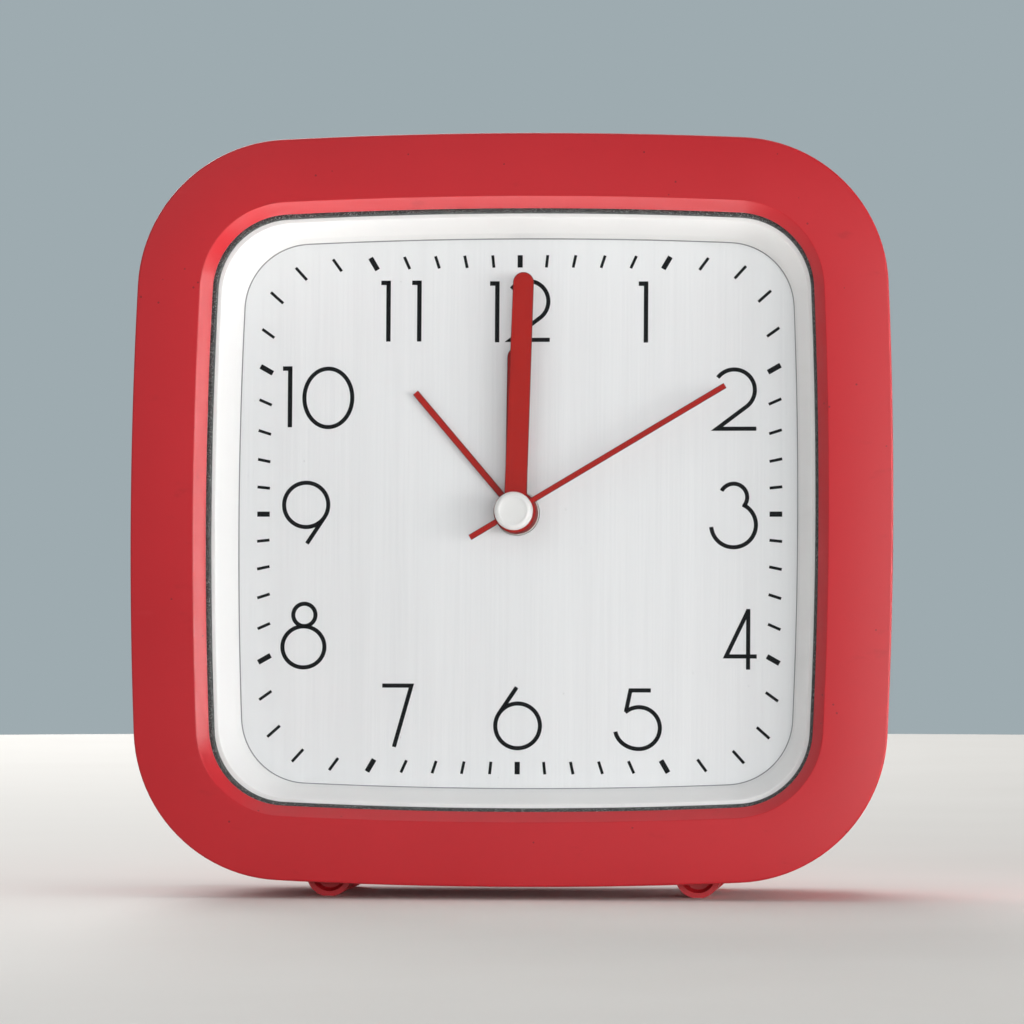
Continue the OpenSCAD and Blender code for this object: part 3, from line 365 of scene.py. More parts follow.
# %% Bead foam
def gasket_foam():
    """Dark foam whose high spots of a fine noise turn pale. The same noise is its roughness and bump."""
    f = Finish("gasket_foam", Specular_IOR_Level=0.6)
    cells = f.noise(0.14, 3)
    colour = f.mix(cells.smooth(0.5, 0.68), tone(18, 20, 20), tone(150, 154, 151))
    return f.ends(Base_Color=colour, Roughness=0.36 + 0.3 * cells, Normal=f.bump(cells, 0.5, 0.05))


dark_foam = gasket_foam()


# %% Lens clear
def lens_clear():
    """Mirror strength 0.008 face on, plus 0.6 times the fifth power of how edge-on the pane is seen."""
    f = Finish("lens_clear", Metallic=1.0, Base_Color=(0.95, 0.96, 0.97, 1.0))
    edge_on = f.node("ShaderNodeLayerWeight", None, {"Blend": 0.5}, out="Facing")
    return f.ends(Roughness=0.03 + 0.04 * f.noise(14, 3), Alpha=0.008 + 0.6 * edge_on ** 5.0)


clear_pane = lens_clear()

# %% [markdown]
# ## Finishes behind the dial
# The back of the clock shows black knobs and a switch, and with the battery door off one sees the tray, its
# contacts and the cell. The rest of the movement is hidden, but it is there, so it gets the finishes such a
# movement has: milky gear plastic, laminations, copper wire, a green board.


# %% Moulded plastics
def moulded(name, dark, light, rough, grain_size, grain):
    """Two close tones in clouds with paler scratches, roughness that follows both, and a mould grain."""
    f = Finish(name, Specular_IOR_Level=0.5)
    cloud = f.noise(4, 3)
    scratch = f.noise(1.5, 4, f.stretch(0.15, 1.0, 0.6)).smooth(0.62, 0.8)
    paler = tone(*(min(255, channel + 40) for channel in light))
    colour = f.mix(scratch * 0.15, f.mix(cloud, tone(*dark), tone(*light)), paler)
    return f.ends(Base_Color=colour, Roughness=rough + 0.15 * cloud - 0.1 * scratch,
                  Normal=f.bump(f.noise(grain_size, 2), grain, 0.03))


black_moulded = moulded("black_plastic", (20, 20, 22), (32, 32, 34), 0.42, 0.25, 0.35)
white_moulded = moulded("white_plastic", (214, 214, 208), (228, 228, 224), 0.36, 0.3, 0.2)
gear_milky = moulded("gear_plastic", (206, 200, 178), (226, 222, 204), 0.34, 0.2, 0.15)


# %% Sheet metals
def sheet_metal(name, dark, light, rough, run):
    """A rolled or plated metal: streaks along one axis in colour, roughness and height, with some stain."""
    f = Finish(name, Metallic=1.0)
    streak = f.noise(0.5, 3, f.stretch(*run))
    colour = f.mix(0.7 * streak + 0.3 * f.noise(3, 3), tone(*dark), tone(*light))
    return f.ends(Base_Color=colour, Roughness=rough + 0.18 * streak, Normal=f.bump(streak, 0.2, 0.01))


steel = sheet_metal("steel", (150, 150, 154), (196, 196, 198), 0.28, (6.0, 0.6, 0.6))
magnet = sheet_metal("magnet", (58, 58, 62), (92, 92, 96), 0.42, (1.0, 1.0, 1.0))
brass = sheet_metal("spring_brass", (170, 128, 52), (214, 176, 92), 0.28, (0.5, 5.0, 5.0))

# %% Wire and board
WIRE_TURN, WAVE_LENGTH = 0.18, 0.314


def copper_wire():
    """Turns of enamelled wire: a wave along the winding's axis, one for each turn, whose colour is painted
    shade, darker in the grooves between turns. At scale 1 Blender's wave is 0.314 units long, so the scale is
    that length over the turn."""
    f = Finish("copper", Metallic=0.9)
    turns = f.node("ShaderNodeTexWave", {"wave_type": "BANDS", "bands_direction": "Z"},
                   {"Vector": f.place, "Scale": WAVE_LENGTH / WIRE_TURN, "Distortion": 0.6, "Detail": 1.0})
    # Painted shade: the copper darkens in the grooves between the turns.
    colour = f.mix(turns, tone(120, 52, 24), tone(214, 126, 70))
    return f.ends(Base_Color=colour, Roughness=0.28 + 0.2 * (1 - turns), Normal=f.bump(turns, 0.7, 0.06))


def board_green():
    """Fibre board under green lacquer: a fine checker for the weave, and cloudy lacquer."""
    f = Finish("board_green", Specular_IOR_Level=0.5)
    weave = f.node("ShaderNodeTexChecker", None, {"Vector": f.place, "Scale": 2.2}, out="Fac")
    cloud = f.noise(3, 3)
    colour = f.mix(0.3 * weave + 0.5 * cloud, tone(16, 74, 38), tone(40, 116, 62))
    return f.ends(Base_Color=colour, Roughness=0.3 + 0.2 * cloud, Normal=f.bump(weave, 0.2, 0.02))


copper = copper_wire()
green_board = board_green()

# %% Cell
BAND_START, BARE_START = 12.8, 24.4


def cell_jacket():
    """The cell's plain sleeve: a dark body, a pale band from BAND_START mm along x and the bare nub from
    BARE_START, with shrink wrinkles."""
    f = Finish("cell_jacket", Specular_IOR_Level=0.5)
    along = f.node("ShaderNodeSeparateXYZ", None, {0: f.place}, out=0)
    band = along.smooth(BAND_START, BAND_START + 0.4)
    bare = along.smooth(BARE_START, BARE_START + 0.1)
    wrinkle = f.noise(1.2, 3, f.stretch(0.3, 1.0, 1.0))
    colour = f.mix(band, tone(38, 40, 44), tone(196, 150, 62))
    colour = f.mix(bare, colour, tone(196, 196, 192))
    colour = f.mix(0.12 * wrinkle, colour, tone(120, 120, 120))
    return f.ends(Base_Color=colour, Metallic=0.25 + 0.7 * bare, Roughness=0.29 + 0.14 * wrinkle,
                  Normal=f.bump(wrinkle, 0.15, 0.05))


jacket = cell_jacket()

# %% [markdown]
# ## Shells from grids
# Every new piece is a closed shell: a grid of points that wraps round a path, and sometimes two flat ends.
# A shell is kept as its points and its faces until it is finished. Faces are turned outwards by the sign of
# the volume they enclose, so it doesn't matter which way a profile was drawn.


# %% Grids
def gridded(points, caps=False):
    """Shell of a (path, section) grid: quads between neighbours, with the path closed and the section
    closed or capped."""
    n, k = points.shape[:2]
    i, j = np.meshgrid(np.arange(n), np.arange(k - 1 if caps else k), indexing="ij")
    row, next_row = i * k, (i + 1) % n * k
    column, next_column = j, (j + 1) % k
    quads = np.stack([row + column, next_row + column, next_row + next_column, row + next_column], axis=-1)
    first = np.arange(n)[None] * k
    ends = [first[:, ::-1], first + k - 1] if caps else []
    return points.reshape(-1, 3), [quads.reshape(-1, 4), *ends]


def turned(profile, centre=(0.0, 0.0), n=72):
    """A profile of (radius, height) pairs turned about an axis: centre + radius times cosine and sine."""
    a = np.linspace(0, 2 * np.pi, n, endpoint=False)[:, None]
    r, z = np.array(profile, float).T
    height = np.broadcast_to(z, (n, len(z)))
    return np.stack([centre[0] + r * np.cos(a), centre[1] + r * np.sin(a), height], axis=-1)


tube = gridded(turned([(1, 0), (2, 0), (2, 1), (1, 1)]))
print("a turned tube:", len(tube[0]), "points,", len(tube[1][0]), "faces")


# %% Volume and outward faces
def volume(points, faces):
    """A sixth of the sum of p0 . (p1 x p2) over the fan of triangles in each face."""
    total = 0.0
    for same_sided in faces:
        p = points[same_sided]
        total += np.einsum("ij,ikj->", p[:, 0], np.cross(p[:, 1:-1], p[:, 2:])) / 6
    return total


def outward(shell):
    """The shell itself where its volume is positive, and otherwise with each face's corners in reverse."""
    points, faces = shell
    return shell if volume(points, faces) > 0 else (points, [same_sided[:, ::-1] for same_sided in faces])


def joined(shells):
    """One shell of many: the faces of each are shifted by the number of points before it."""
    shells = [outward(shell) for shell in shells]
    starts = np.cumsum([0] + [len(points) for points, _ in shells])
    faces = [part + start for (_, parts), start in zip(shells, starts) for part in parts]
    return np.concatenate([points for points, _ in shells]), faces


print("the tube holds", round(volume(*outward(tube)), 3), "of 3 pi =", round(3 * np.pi, 3))


# %% Finished pieces
def finished(name, shells, finish, body, stands_for=(), crease=38):
    """Puts shells into one mesh, shaded smooth up to the crease angle, with its finish and its body."""
    points, faces = joined(shells)
    mesh = bpy.data.meshes.new(name)
    mesh.from_pydata(stood(points).tolist(), [], [face for part in faces for face in part.tolist()])
    mesh.polygons.foreach_set("use_smooth", np.ones(len(mesh.polygons), bool))
    mesh.set_sharp_from_angle(angle=np.radians(crease))
    mesh.materials.append(finish)
    piece = bpy.data.objects.new(name, mesh)
    bpy.context.scene.collection.objects.link(piece)
    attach(piece, body)
    if stands_for:
        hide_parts(*stands_for)
    print(f"{name}: {len(mesh.polygons)} faces, {volume(points, faces):.1f} mm3")
    return piece


# %% [markdown]
# ## The bowed outline
# Front frame, lens, ring and minute track all share one outline: a square with long bowed sides and arcs at
# its corners. Each side is an arc of large radius and each corner arc is tangent to two of them. The outline
# also carries its outward normals, because an outline set in by d is the same points moved d along them.

# %% Outline with normals
BOW, FRAME_CORNER = 760.0, 23.4


def bowed(w, h, r, bow=BOW, side=16, corner=24):
    """Points and outward normals of a closed outline of half size w, h, with side arcs of radius bow and
    corner arcs of radius r. The side centres lie bow - w and bow - h past the middle. A corner's centre is
    bow - r from two of them, so the arcs meet without a kink: taking one circle from the other leaves
    x = k y + k0, and that line put back into a circle is a quadratic in y."""
    past_x, past_y, gap = bow - w, bow - h, bow - r
    k = past_y / past_x
    k0 = (past_y ** 2 - past_x ** 2) / (2 * past_x)
    qa, qb, qc = k ** 2 + 1, 2 * k * (k0 + past_x), (k0 + past_x) ** 2 - gap ** 2
    cy = (np.sqrt(qb ** 2 - 4 * qa * qc) - qb) / (2 * qa)
    cx = k * cy + k0
    start, end = np.arctan2(cy, cx + past_x), np.pi / 2 - np.arctan2(cx, cy + past_y)
    t = np.concatenate([np.linspace(0, start, side, endpoint=False),
                        np.linspace(start, end, corner, endpoint=False),
                        np.linspace(end, np.pi / 2, side + 1)])
    which = np.repeat([0, 1, 2], [side, corner, side + 1])
    centre = np.array([[-past_x, 0.0], [cx, cy], [0.0, -past_y]])[which]
    normal = np.stack([np.cos(t), np.sin(t)], axis=1)
    point = centre + np.array([bow, r, bow])[which, None] * normal

    def four_quarters(v):
        """A quarter, then its mirror image, then both turned by half a turn, each shared point once."""
        half = np.concatenate([v, (v * [-1, 1])[::-1][1:]])
        return np.concatenate([half, -half[1:-1]])

    return four_quarters(point), four_quarters(normal)


rim, rim_normal = bowed(*bezel_high[:2], FRAME_CORNER)
print("outline:", len(rim), "points,", (np.abs(rim).max(0) * 2).round(2), "mm across")


# %% Softened sections
def softened(corners, steps=7):
    """A closed section from corners of (distance in, height, radius). Each becomes an arc tangent to both
    edges: the even turn from one tangent point to the other about the arc's centre."""
    p, r = np.split(np.array(corners, float), [2], axis=1)
    u, v = np.roll(p, 1, 0) - p, np.roll(p, -1, 0) - p
    u = u / np.linalg.norm(u, axis=1, keepdims=True)
    v = v / np.linalg.norm(v, axis=1, keepdims=True)
    half = np.arccos(np.clip((u * v).sum(1, keepdims=True), -1, 1)) / 2
    middle = (u + v) / np.linalg.norm(u + v, axis=1, keepdims=True)
    centre = p + middle * r / np.sin(half)
    start = (p + u * r / np.tan(half) - centre) / r
    end = (p + v * r / np.tan(half) - centre) / r
    turn = np.pi - 2 * half
    s = np.linspace(0, 1, steps)
    from_start = (np.sin((1 - s) * turn) / np.sin(turn))[..., None]
    from_end = (np.sin(s * turn) / np.sin(turn))[..., None]
    rounded = centre[:, None] + r[:, None] * (from_start * start[:, None] + from_end * end[:, None])
    return rounded.reshape(-1, 2)


def raised(flat, section):
    """Flat (path, section, 2) points given each section point's height as their third number."""
    return np.concatenate([flat, np.broadcast_to(section[None, :, 1:], (*flat.shape[:2], 1))], axis=-1)


def carried(section, point=rim, normal=rim_normal):
    """A section of (distance in, height) pairs along an outline: point minus distance times normal."""
    return raised(point[:, None] - section[None, :, :1] * normal[:, None], section)


soft_square = softened([(0, 0, 0.1), (1, 0, 0.1), (1, 1, 0.1), (0, 1, 0.1)])
print("a square with soft corners:", len(soft_square), "points")

# %% [markdown]
# ## The red front frame
# One moulding: an outer wall drafted towards the back, a crisp rim, a wide, nearly flat face, a chamfer down
# to the lens, a thin lip over the lens and a skirt behind it. Its section is drawn once and carried round
# the outline. Round edges matter here, because the thin lights along them are what the eye reads as moulded
# plastic. The four screw bosses behind it are turned.

# %% Frame section and bosses
lens_low, lens_high = span("lens")
LIP_IN, SKIRT_OUT, SKIRT_IN = 11.45, 8.75, 10.25
WALL_BACK, SKIRT_BACK = 4.0, -1.9
frame_section = softened([
    (1.0, WALL_BACK, 0.2),              # outer wall, back edge
    (-0.02, 11.83, 0.35),               # rim
    (9.8, bezel_high[2], 0.25),         # face, inner edge
    (LIP_IN, 10.1, 0.1),                # chamfer's end
    (LIP_IN, lens_high[2], 0.05),       # lip over the lens
    (SKIRT_IN, lens_high[2], 0.05),
    (SKIRT_IN, SKIRT_BACK, 0.2),        # skirt round lens, bead and ring
    (SKIRT_OUT, SKIRT_BACK, 0.2),
    (SKIRT_OUT, 9.4, 0.4),              # hollow behind the face
    (2.4, 9.5, 0.5),
    (2.8, WALL_BACK, 0.2),              # inner side of the outer wall
])
BOSS_X, BOSS_Y, BOSS_BORE, BOSS_OUT, BOSS_TOP, BOSS_EDGE = 45.7, 44.85, 1.05, 1.8, 9.6, 0.1
boss_back = bezel_low[2]
boss = [(BOSS_BORE, boss_back), (BOSS_OUT - BOSS_EDGE, boss_back), (BOSS_OUT, boss_back + BOSS_EDGE),
        (BOSS_OUT, BOSS_TOP), (BOSS_BORE, BOSS_TOP)]
bosses = [gridded(turned(boss, (x, y), 40)) for x in (-BOSS_X, BOSS_X) for y in (-BOSS_Y, BOSS_Y)]
finished("front_frame", [gridded(carried(frame_section)), *bosses],
         red_paint, "case", ["front_bezel"], crease=30)

# %% [markdown]
# ## Lens and bead
# The lens is a flat pane in the frame's skirt. Its rim is a profile carried round the outline, and its two
# flat faces close the profile's ends. The bead under it is pressed between lens and ring, and its inner edge
# is round. Both keep a hair's breadth from their neighbours, so that no two faces lie in one plane.

# %% Lens pane and window bead
GAP, SIDE_GAP = 0.02, 0.05
seat_in = bezel_high[0] - lens_high[0] + SIDE_GAP
pane_front, pane_back, FLAT_IN = lens_high[2] - GAP, lens_low[2], 11.2
pane_section = np.array([(FLAT_IN, pane_front), (seat_in + 0.2, pane_front), (seat_in, pane_front - 0.18),
                         (seat_in, pane_back + 0.15), (seat_in + 0.15, pane_back), (FLAT_IN, pane_back)])
finished("lens_pane", [gridded(carried(pane_section), caps=True)],
         clear_pane, "case", ["lens"])

bead_low, bead_high = span("lens_gasket")
bead_back, bead_front, BEAD_IN = bead_low[2] + GAP, bead_high[2] - GAP, 12.05
bead_section = softened([(seat_in, bead_back, 0.05), (seat_in, bead_front, 0.05),
                         (BEAD_IN, bead_front, 0.42), (BEAD_IN, bead_back, 0.03)])
finished("window_bead", [gridded(carried(bead_section))], dark_foam, "case", ["lens_gasket"])

# %% [markdown]
# ## The white ring
# The ring starts as the frame's outline under the lens and ends as a tighter outline on the dial, so its
# section isn't simply set in: it is carried along a mix of the two outlines. It has a narrow lip in front
# and then a slope in two parts, steeper near the dial. Its foot is rounded where it meets the dial. The fine
# dark line along the foot is painted shade: a thin grey line laid on the dial with the minute track.

# %% Ring between two outlines
TOP_IN, FOOT_IN, FOOT_CORNER = 12.0, 15.1, 10.4
foot, foot_normal = bowed(*(bezel_high[:2] - FOOT_IN), FOOT_CORNER)


def between(section):
    """Up to TOP_IN a point is set in from the rim; past it, it moves evenly from there to the foot."""
    d = section[None, :, :1]
    share = np.clip((d - TOP_IN) / (FOOT_IN - TOP_IN), 0, 1)
    upper = rim[:, None] - np.minimum(d, TOP_IN) * rim_normal[:, None]
    return raised((1 - share) * upper + share * foot[:, None], section)


ring_low, ring_high = span("dial_ring")
ring_back, ring_front = ring_low[2] + GAP, ring_high[2] - GAP
RING_WALL, HOLLOW_IN = 11.25, 13.3
ring_section = softened([
    (seat_in, ring_front, 0.1),         # outer wall
    (seat_in, ring_back, 0.1),
    (RING_WALL, ring_back, 0.1),        # hollow behind the slope
    (RING_WALL, 6.1, 0.1),
    (HOLLOW_IN, 1.1, 0.1),
    (HOLLOW_IN, ring_back, 0.1),
    (FOOT_IN, ring_back, 0.08),         # foot on the dial
    (FOOT_IN, 0.5, 0.2),
    (14.6, 2.7, 3.0),                   # where the slope turns steeper
    (12.62, ring_front, 0.15),          # inner edge of the lip
])
finished("dial_surround", [gridded(between(ring_section))],
         ring_white, "case", ["dial_ring"], crease=30)

# %% [markdown]
# ## Minute track
# Sixty ticks run round a rounded square, not a circle. Each lies on a ray from the hub, between an outer and
# an inner outline of the same bowed kind. The distance to an outline along a ray is read off by
# interpolating its points over their polar angle, for all sixty rays at once. The track is a little wider
# than high and sits a little right of the hub and below it, as print on a dial may. The print is a film
# 0.03 mm thick.

# %% Strokes of print and of painted shade
FILM_LOW, FILM_TOP = -0.01, 0.03


def ribbon(path, width, closed=False):
    """A flat stroke: each path point moved half a width along its mitre, which is the sum of the normals of
    its two edges over one plus their dot product, then given a bottom and a top."""
    p = np.asarray(path, float)
    edge = np.roll(p, -1, 0) - p
    edge = edge / np.linalg.norm(edge, axis=1, keepdims=True)
    after = np.stack([-edge[:, 1], edge[:, 0]], axis=1)
    before = np.roll(after, 1, 0)
    if not closed:
        before[0], after[-1] = after[0], before[-1]
    mitre = (before + after) / (1 + (before * after).sum(1, keepdims=True)) * width / 2
    low, top = np.full(len(p), FILM_LOW), np.full(len(p), FILM_TOP)
    ring = np.stack([np.c_[p + mitre, low], np.c_[p + mitre, top],
                     np.c_[p - mitre, top], np.c_[p - mitre, low]])
    return gridded(ring.transpose(1, 0, 2)) if closed else gridded(ring, caps=True)


# A thin grey line just inside the ring's foot: painted shade of the gap between ring and dial.
GAP_SHADE_IN, GAP_SHADE_WIDE = 0.07, 0.18
gap_shade = ribbon(foot - GAP_SHADE_IN * foot_normal, GAP_SHADE_WIDE, closed=True)
print("border line:", len(gap_shade[0]), "points")


# %% Ticks on sixty rays
def reach(outline, angle):
    """Distance from the hub to an outline along each angle, interpolated over the outline's polar angles."""
    polar = np.arctan2(outline[:, 1], outline[:, 0])
    order = np.argsort(polar)
    return np.interp(angle, polar[order], np.hypot(*outline[order].T), period=2 * np.pi)


minute = np.arange(60)
ray = np.pi / 2 - minute * np.pi / 30
ray_way = np.stack([np.cos(ray), np.sin(ray)], axis=1)
TICK_OUT, TICK_IN, TICK_CORNER, HOUR_WIDE, MINUTE_WIDE = 40.12, 38.2, 9.8, 0.8, 0.45
track_stretch, print_shift = np.array([1.0145, 1.0]), np.array([0.22, -0.16])
inner_reach, outer_reach = [reach(bowed(half, half, TICK_CORNER)[0], ray) for half in (TICK_IN, TICK_OUT)]
inner_end = inner_reach[:, None] * ray_way * track_stretch + print_shift
outer_end = outer_reach[:, None] * ray_way * track_stretch + print_shift
tick_wide = np.where(minute % 5 == 0, HOUR_WIDE, MINUTE_WIDE)
ticks = [ribbon(ends, wide) for ends, wide in zip(np.stack([inner_end, outer_end], axis=1), tick_wide)]
finished("minute_track", ticks, black_ink, "case")
# The grey line is painted shade, not print.
finished("dial_gap_shade", [gap_shade], gap_shade_finish, "case")

# %% [markdown]
# ## Plain numbers
# The numbers are thin strokes of even width, drawn with lines and arcs as a geometric sans letter is. Each
# digit is a few paths in millimetres from its lower left corner, and a number is one or two digits set at
# their places. A font could do this, but paths give exactly these round forms.


# %% Digits from lines and arcs
def arc(cx, cy, rx, ry, start, end, n=40):
    """Points of an ellipse about cx, cy from one angle in degrees to another."""
    a = np.radians(np.linspace(start, end, n))
    return np.stack([cx + rx * np.cos(a), cy + ry * np.sin(a)], axis=1)


def path(*parts):
    """Points and arcs put end to end as one path."""
    return np.concatenate([np.atleast_2d(np.asarray(part, float)) for part in parts])


DIGITS = {
    "0": [("loop", arc(4.03, 4.85, 3.71, 4.52, 0, 360, 73)[:-1])],
    "1": [("line", path((0, 9.09), (1.48, 9.09))), ("line", path((1.14, 0), (1.14, 9.42)))],
    "2": [("line", path(arc(3.58, 6.26, 3.17, 3.17, 142.6, -52), (0.97, 0.32), (7.0, 0.32)))],
    "3": [("line", arc(3.68, 7.97, 2.08, 2.08, 152, -42)),
          ("line", arc(3.69, 3.72, 3.42, 3.42, 66, -175, 56))],
    "4": [("line", path((4.03, 0), (4.03, 9.29))),
          ("line", path((3.98, 8.96), (0.66, 2.02), (5.35, 2.02)))],
    "5": [("line", path((5.74, 9.31), (2.62, 9.31), (1.93, 6.0))),
          ("line", path(arc(3.94, 3.54, 3.2, 3.2, 131, -90), arc(3.94, 3.54, 3.66, 3.2, -92, -170, 20)))],
    "6": [("line", path((3.6, 9.64), arc(3.77, 3.72, 3.43, 3.43, 145.1, 500, 90)))],
    "7": [("line", path((0, 9.45), (4.5, 9.45), (1.86, 0.02)))],
    "8": [("loop", arc(3.58, 3.52, 3.25, 3.16, 0, 360, 73)[:-1]),
          ("loop", arc(3.69, 8.45, 1.72, 1.72, 0, 360, 49)[:-1])],
    "9": [("line", path((3.9, 0.18), arc(3.74, 6.15, 3.42, 3.42, -34.9, 320, 90)))],
}
print("digits drawn:", "".join(DIGITS))

# %% Numbers at their places
NUMBERS = [("1", -4.63, 26.5), ("2", -2.37, 26.55), ("1", 18.26, 26.4), ("2", 29.38, 12.8),
           ("3", 29.26, -5.38), ("4", 31.22, -23.82), ("5", 14.68, -36.35), ("6", -3.75, -36.25),
           ("7", -20.85, -35.85), ("8", -36.65, -24.0), ("9", -36.55, -4.72), ("1", -36.58, 13.43),
           ("0", -33.54, 13.12), ("1", -21.43, 26.66), ("1", -16.66, 26.66)]
STROKE, STROKE_OF_ONE = 0.64, 0.69
number_stretch = np.array([1.008, 1.004])
strokes = []
for digit, x, y in NUMBERS:
    width = STROKE_OF_ONE if digit == "1" else STROKE
    for kind, line in DIGITS[digit]:
        placed = (line + np.array([x, y])) * number_stretch + print_shift
        strokes.append(ribbon(placed, width, closed=kind == "loop"))
finished("dial_numbers", strokes, black_ink, "case")

# %% [markdown]
# ## The hands
# Stamped hands are flat, but a real stamping has a soft upper edge and a bore that sits on its pipe. Seen
# from the hub every hand is a star shape, so a hand is a strip between its bore and its outline, with the
# edge turned over. The outline is the eye's arc, two straight sides and the tip. An attribute marks the rim,
# so that the enamel can carry painted shade there, darker on the edge and the side walls.


# %% Hand outlines
def blade(length, w0, w1, eye, round_tip=True, tail=0.0):
    """Closed outline of a hand along +y: eye arc, side, tip, side, and a tail bar where there is one.
    A side leaves the eye where half its width equals the eye's radius times the sine of the angle."""
    leave = np.degrees(np.arcsin(w0 / 2 / eye))
    half = w1 / 2
    if round_tip:
        tip = arc(0, length - half, half, half, 0, 180, 25)
    else:
        tip = np.array([[half, length], [-half, length]])
    if tail:
        eye_right = arc(0, 0, eye, eye, leave - 90, 90 - leave, 30)
        return path(eye_right, tip, -eye_right, (-half, -tail), (half, -tail))
    return path(arc(0, 0, eye, eye, 90 + leave, 450 - leave, 60), tip)


OUTLINES = {
    "alarm_hand": blade(24.4, 1.0, 1.0, 3.3, round_tip=False),
    "hour_hand": blade(25.6, 3.4, 3.4, 3.3),
    "minute_hand": blade(37.0, 3.45, 3.2, 3.3),
    "second_hand": blade(37.7, 0.87, 0.87, 1.6, round_tip=False, tail=7.9),
}
print("points on each outline:", [len(outline) for outline in OUTLINES.values()])

# %% Stamped hands
EDGE, RIM_WIDE = 0.07, 0.16
# Share of painted edge shade on each of the seven rings: none on the bore and flat top, full from the edge
# down.
EDGE_SHADE_SHARE = [0.0, 0.0, 0.0, 1.0, 1.0, 1.0, 1.0]


def stamped(outline, bore, z0, z1, turn):
    """Hand from bore to outline, turned clockwise: seven rings, two at the bore, two on the flat top at the
    rim and at the edge, and three down the edge. A ring is the outline moved in along its own normal."""
    ahead = np.roll(outline, -1, 0) - np.roll(outline, 1, 0)
    ahead = ahead / np.linalg.norm(ahead, axis=1, keepdims=True)
    out = np.stack([ahead[:, 1], -ahead[:, 0]], axis=1)
    hole = bore * outline / np.linalg.norm(outline, axis=1, keepdims=True)
    rings = [(hole, z0), (hole, z1), (outline - RIM_WIDE * out, z1), (outline - EDGE * out, z1),
             (outline - 0.3 * EDGE * out, z1 - 0.3 * EDGE), (outline, z1 - EDGE), (outline, z0)]
    grid = np.stack([np.c_[ring, np.full(len(ring), z)] for ring, z in rings], axis=1)
    c, s = np.cos(np.radians(turn)), np.sin(np.radians(turn))
    return gridded(grid @ np.array([[c, -s, 0], [s, c, 0], [0, 0, 1]]))


# Each hand's bore, clockwise turn from twelve in degrees, and body
HANDS = {
    "alarm_hand": (2.47, 319.6, "alarm"),
    "hour_hand": (1.82, 0.6, "hours"),
    "minute_hand": (1.17, 1.8, "minutes"),
    "second_hand": (0.52, 59.2, "going_seconds"),
}
for node, (bore, turn, body) in HANDS.items():
    low, high = span(node)
    piece = finished(node + "_blade", [stamped(OUTLINES[node], bore, low[2], high[2], turn)],
                     red_enamel, body, [node])
    # Each outline point gets the seven shares, which the enamel reads as painted shade on the edges.
    edge_shade_marks = piece.data.attributes.new("rim", "FLOAT", "POINT")
    edge_shade_marks.data.foreach_set("value", np.tile(EDGE_SHADE_SHARE, len(OUTLINES[node])))

# %% [markdown]
# ## The cap
# A white button covers the hub: a round raised rim and a slightly dished middle. It is a turned profile with
# the bore that grips the arbor left open below.

# %% Turned cap
cap_low, cap_high = span("hub_cap")
cap_out, cap_back, cap_front = cap_high[0], cap_low[2], cap_high[2]
ARBOR, ARBOR_DEEP, SHOULDER = 0.52, 0.9, 0.75
dish = cap_front - 0.07
shoulder = arc(cap_out - SHOULDER, cap_front - SHOULDER, SHOULDER, SHOULDER, 0, 90, 9)
cap_profile = path((ARBOR, cap_back + ARBOR_DEEP), (ARBOR, cap_back), (cap_out - 0.07, cap_back),
                   (cap_out, cap_back + 0.08), shoulder, (2.12, cap_front - 0.01), (2.05, cap_front - 0.05),
                   (1.98, dish), (1.2, dish), (0.25, dish))
finished("hub_button", [gridded(turned(cap_profile), caps=True)],
         shaded_cap_white, "going_seconds", ["hub_cap"], crease=50)

# %% [markdown]
# ## Smooth copies of the CAD pieces
# The rear shell, the door, the knobs and the screws already have the right shape, but a CAD mesh is loose
# triangles and would show its facets. A copy with its doubles merged can share normals across a curve and
# keep its real edges sharp. The CAD node itself is left alone and stays for collision.


# %% Merge and smooth
def smoothed(node, finish, crease=32):
    """A merged copy of a CAD node that is shaded smooth wherever two faces meet at less than the crease."""
    source = frame["nodes"][node]
    mesh = source.data.copy()
    mesh.name = node + "_smooth"
    work = bmesh.new()
    work.from_mesh(mesh)
    bmesh.ops.remove_doubles(work, verts=work.verts, dist=2e-6)
    bmesh.ops.dissolve_limit(work, angle_limit=np.radians(0.2), verts=work.verts, edges=work.edges)
    work.to_mesh(mesh)
    work.free()
    mesh.polygons.foreach_set("use_smooth", np.ones(len(mesh.polygons), bool))
    mesh.set_sharp_from_angle(angle=np.radians(crease))
    mesh.materials.clear()
    mesh.materials.append(finish)
    piece = bpy.data.objects.new(mesh.name, mesh)
    bpy.context.scene.collection.objects.link(piece)
    even = piece.modifiers.new("even", "WEIGHTED_NORMAL")
    even.keep_sharp = True
    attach(piece, source["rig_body"])
    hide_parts(node)
    print(f"{piece.name}: {len(mesh.polygons)} faces")


for node in ("rear_case", "battery_door"):
    smoothed(node, red_plastic)
for node in ("time_knob", "alarm_knob", "alarm_switch"):
    smoothed(node, black_moulded)
smoothed("case_screws", steel)
smoothed("battery", jacket)
smoothed("movement_rear", black_moulded)

# %% [markdown]
# ## Finishes on the CAD pieces that stay
# Flat plates, wheels and contacts are right as they are. They only need their finish, put into the material
# slot each one came with.

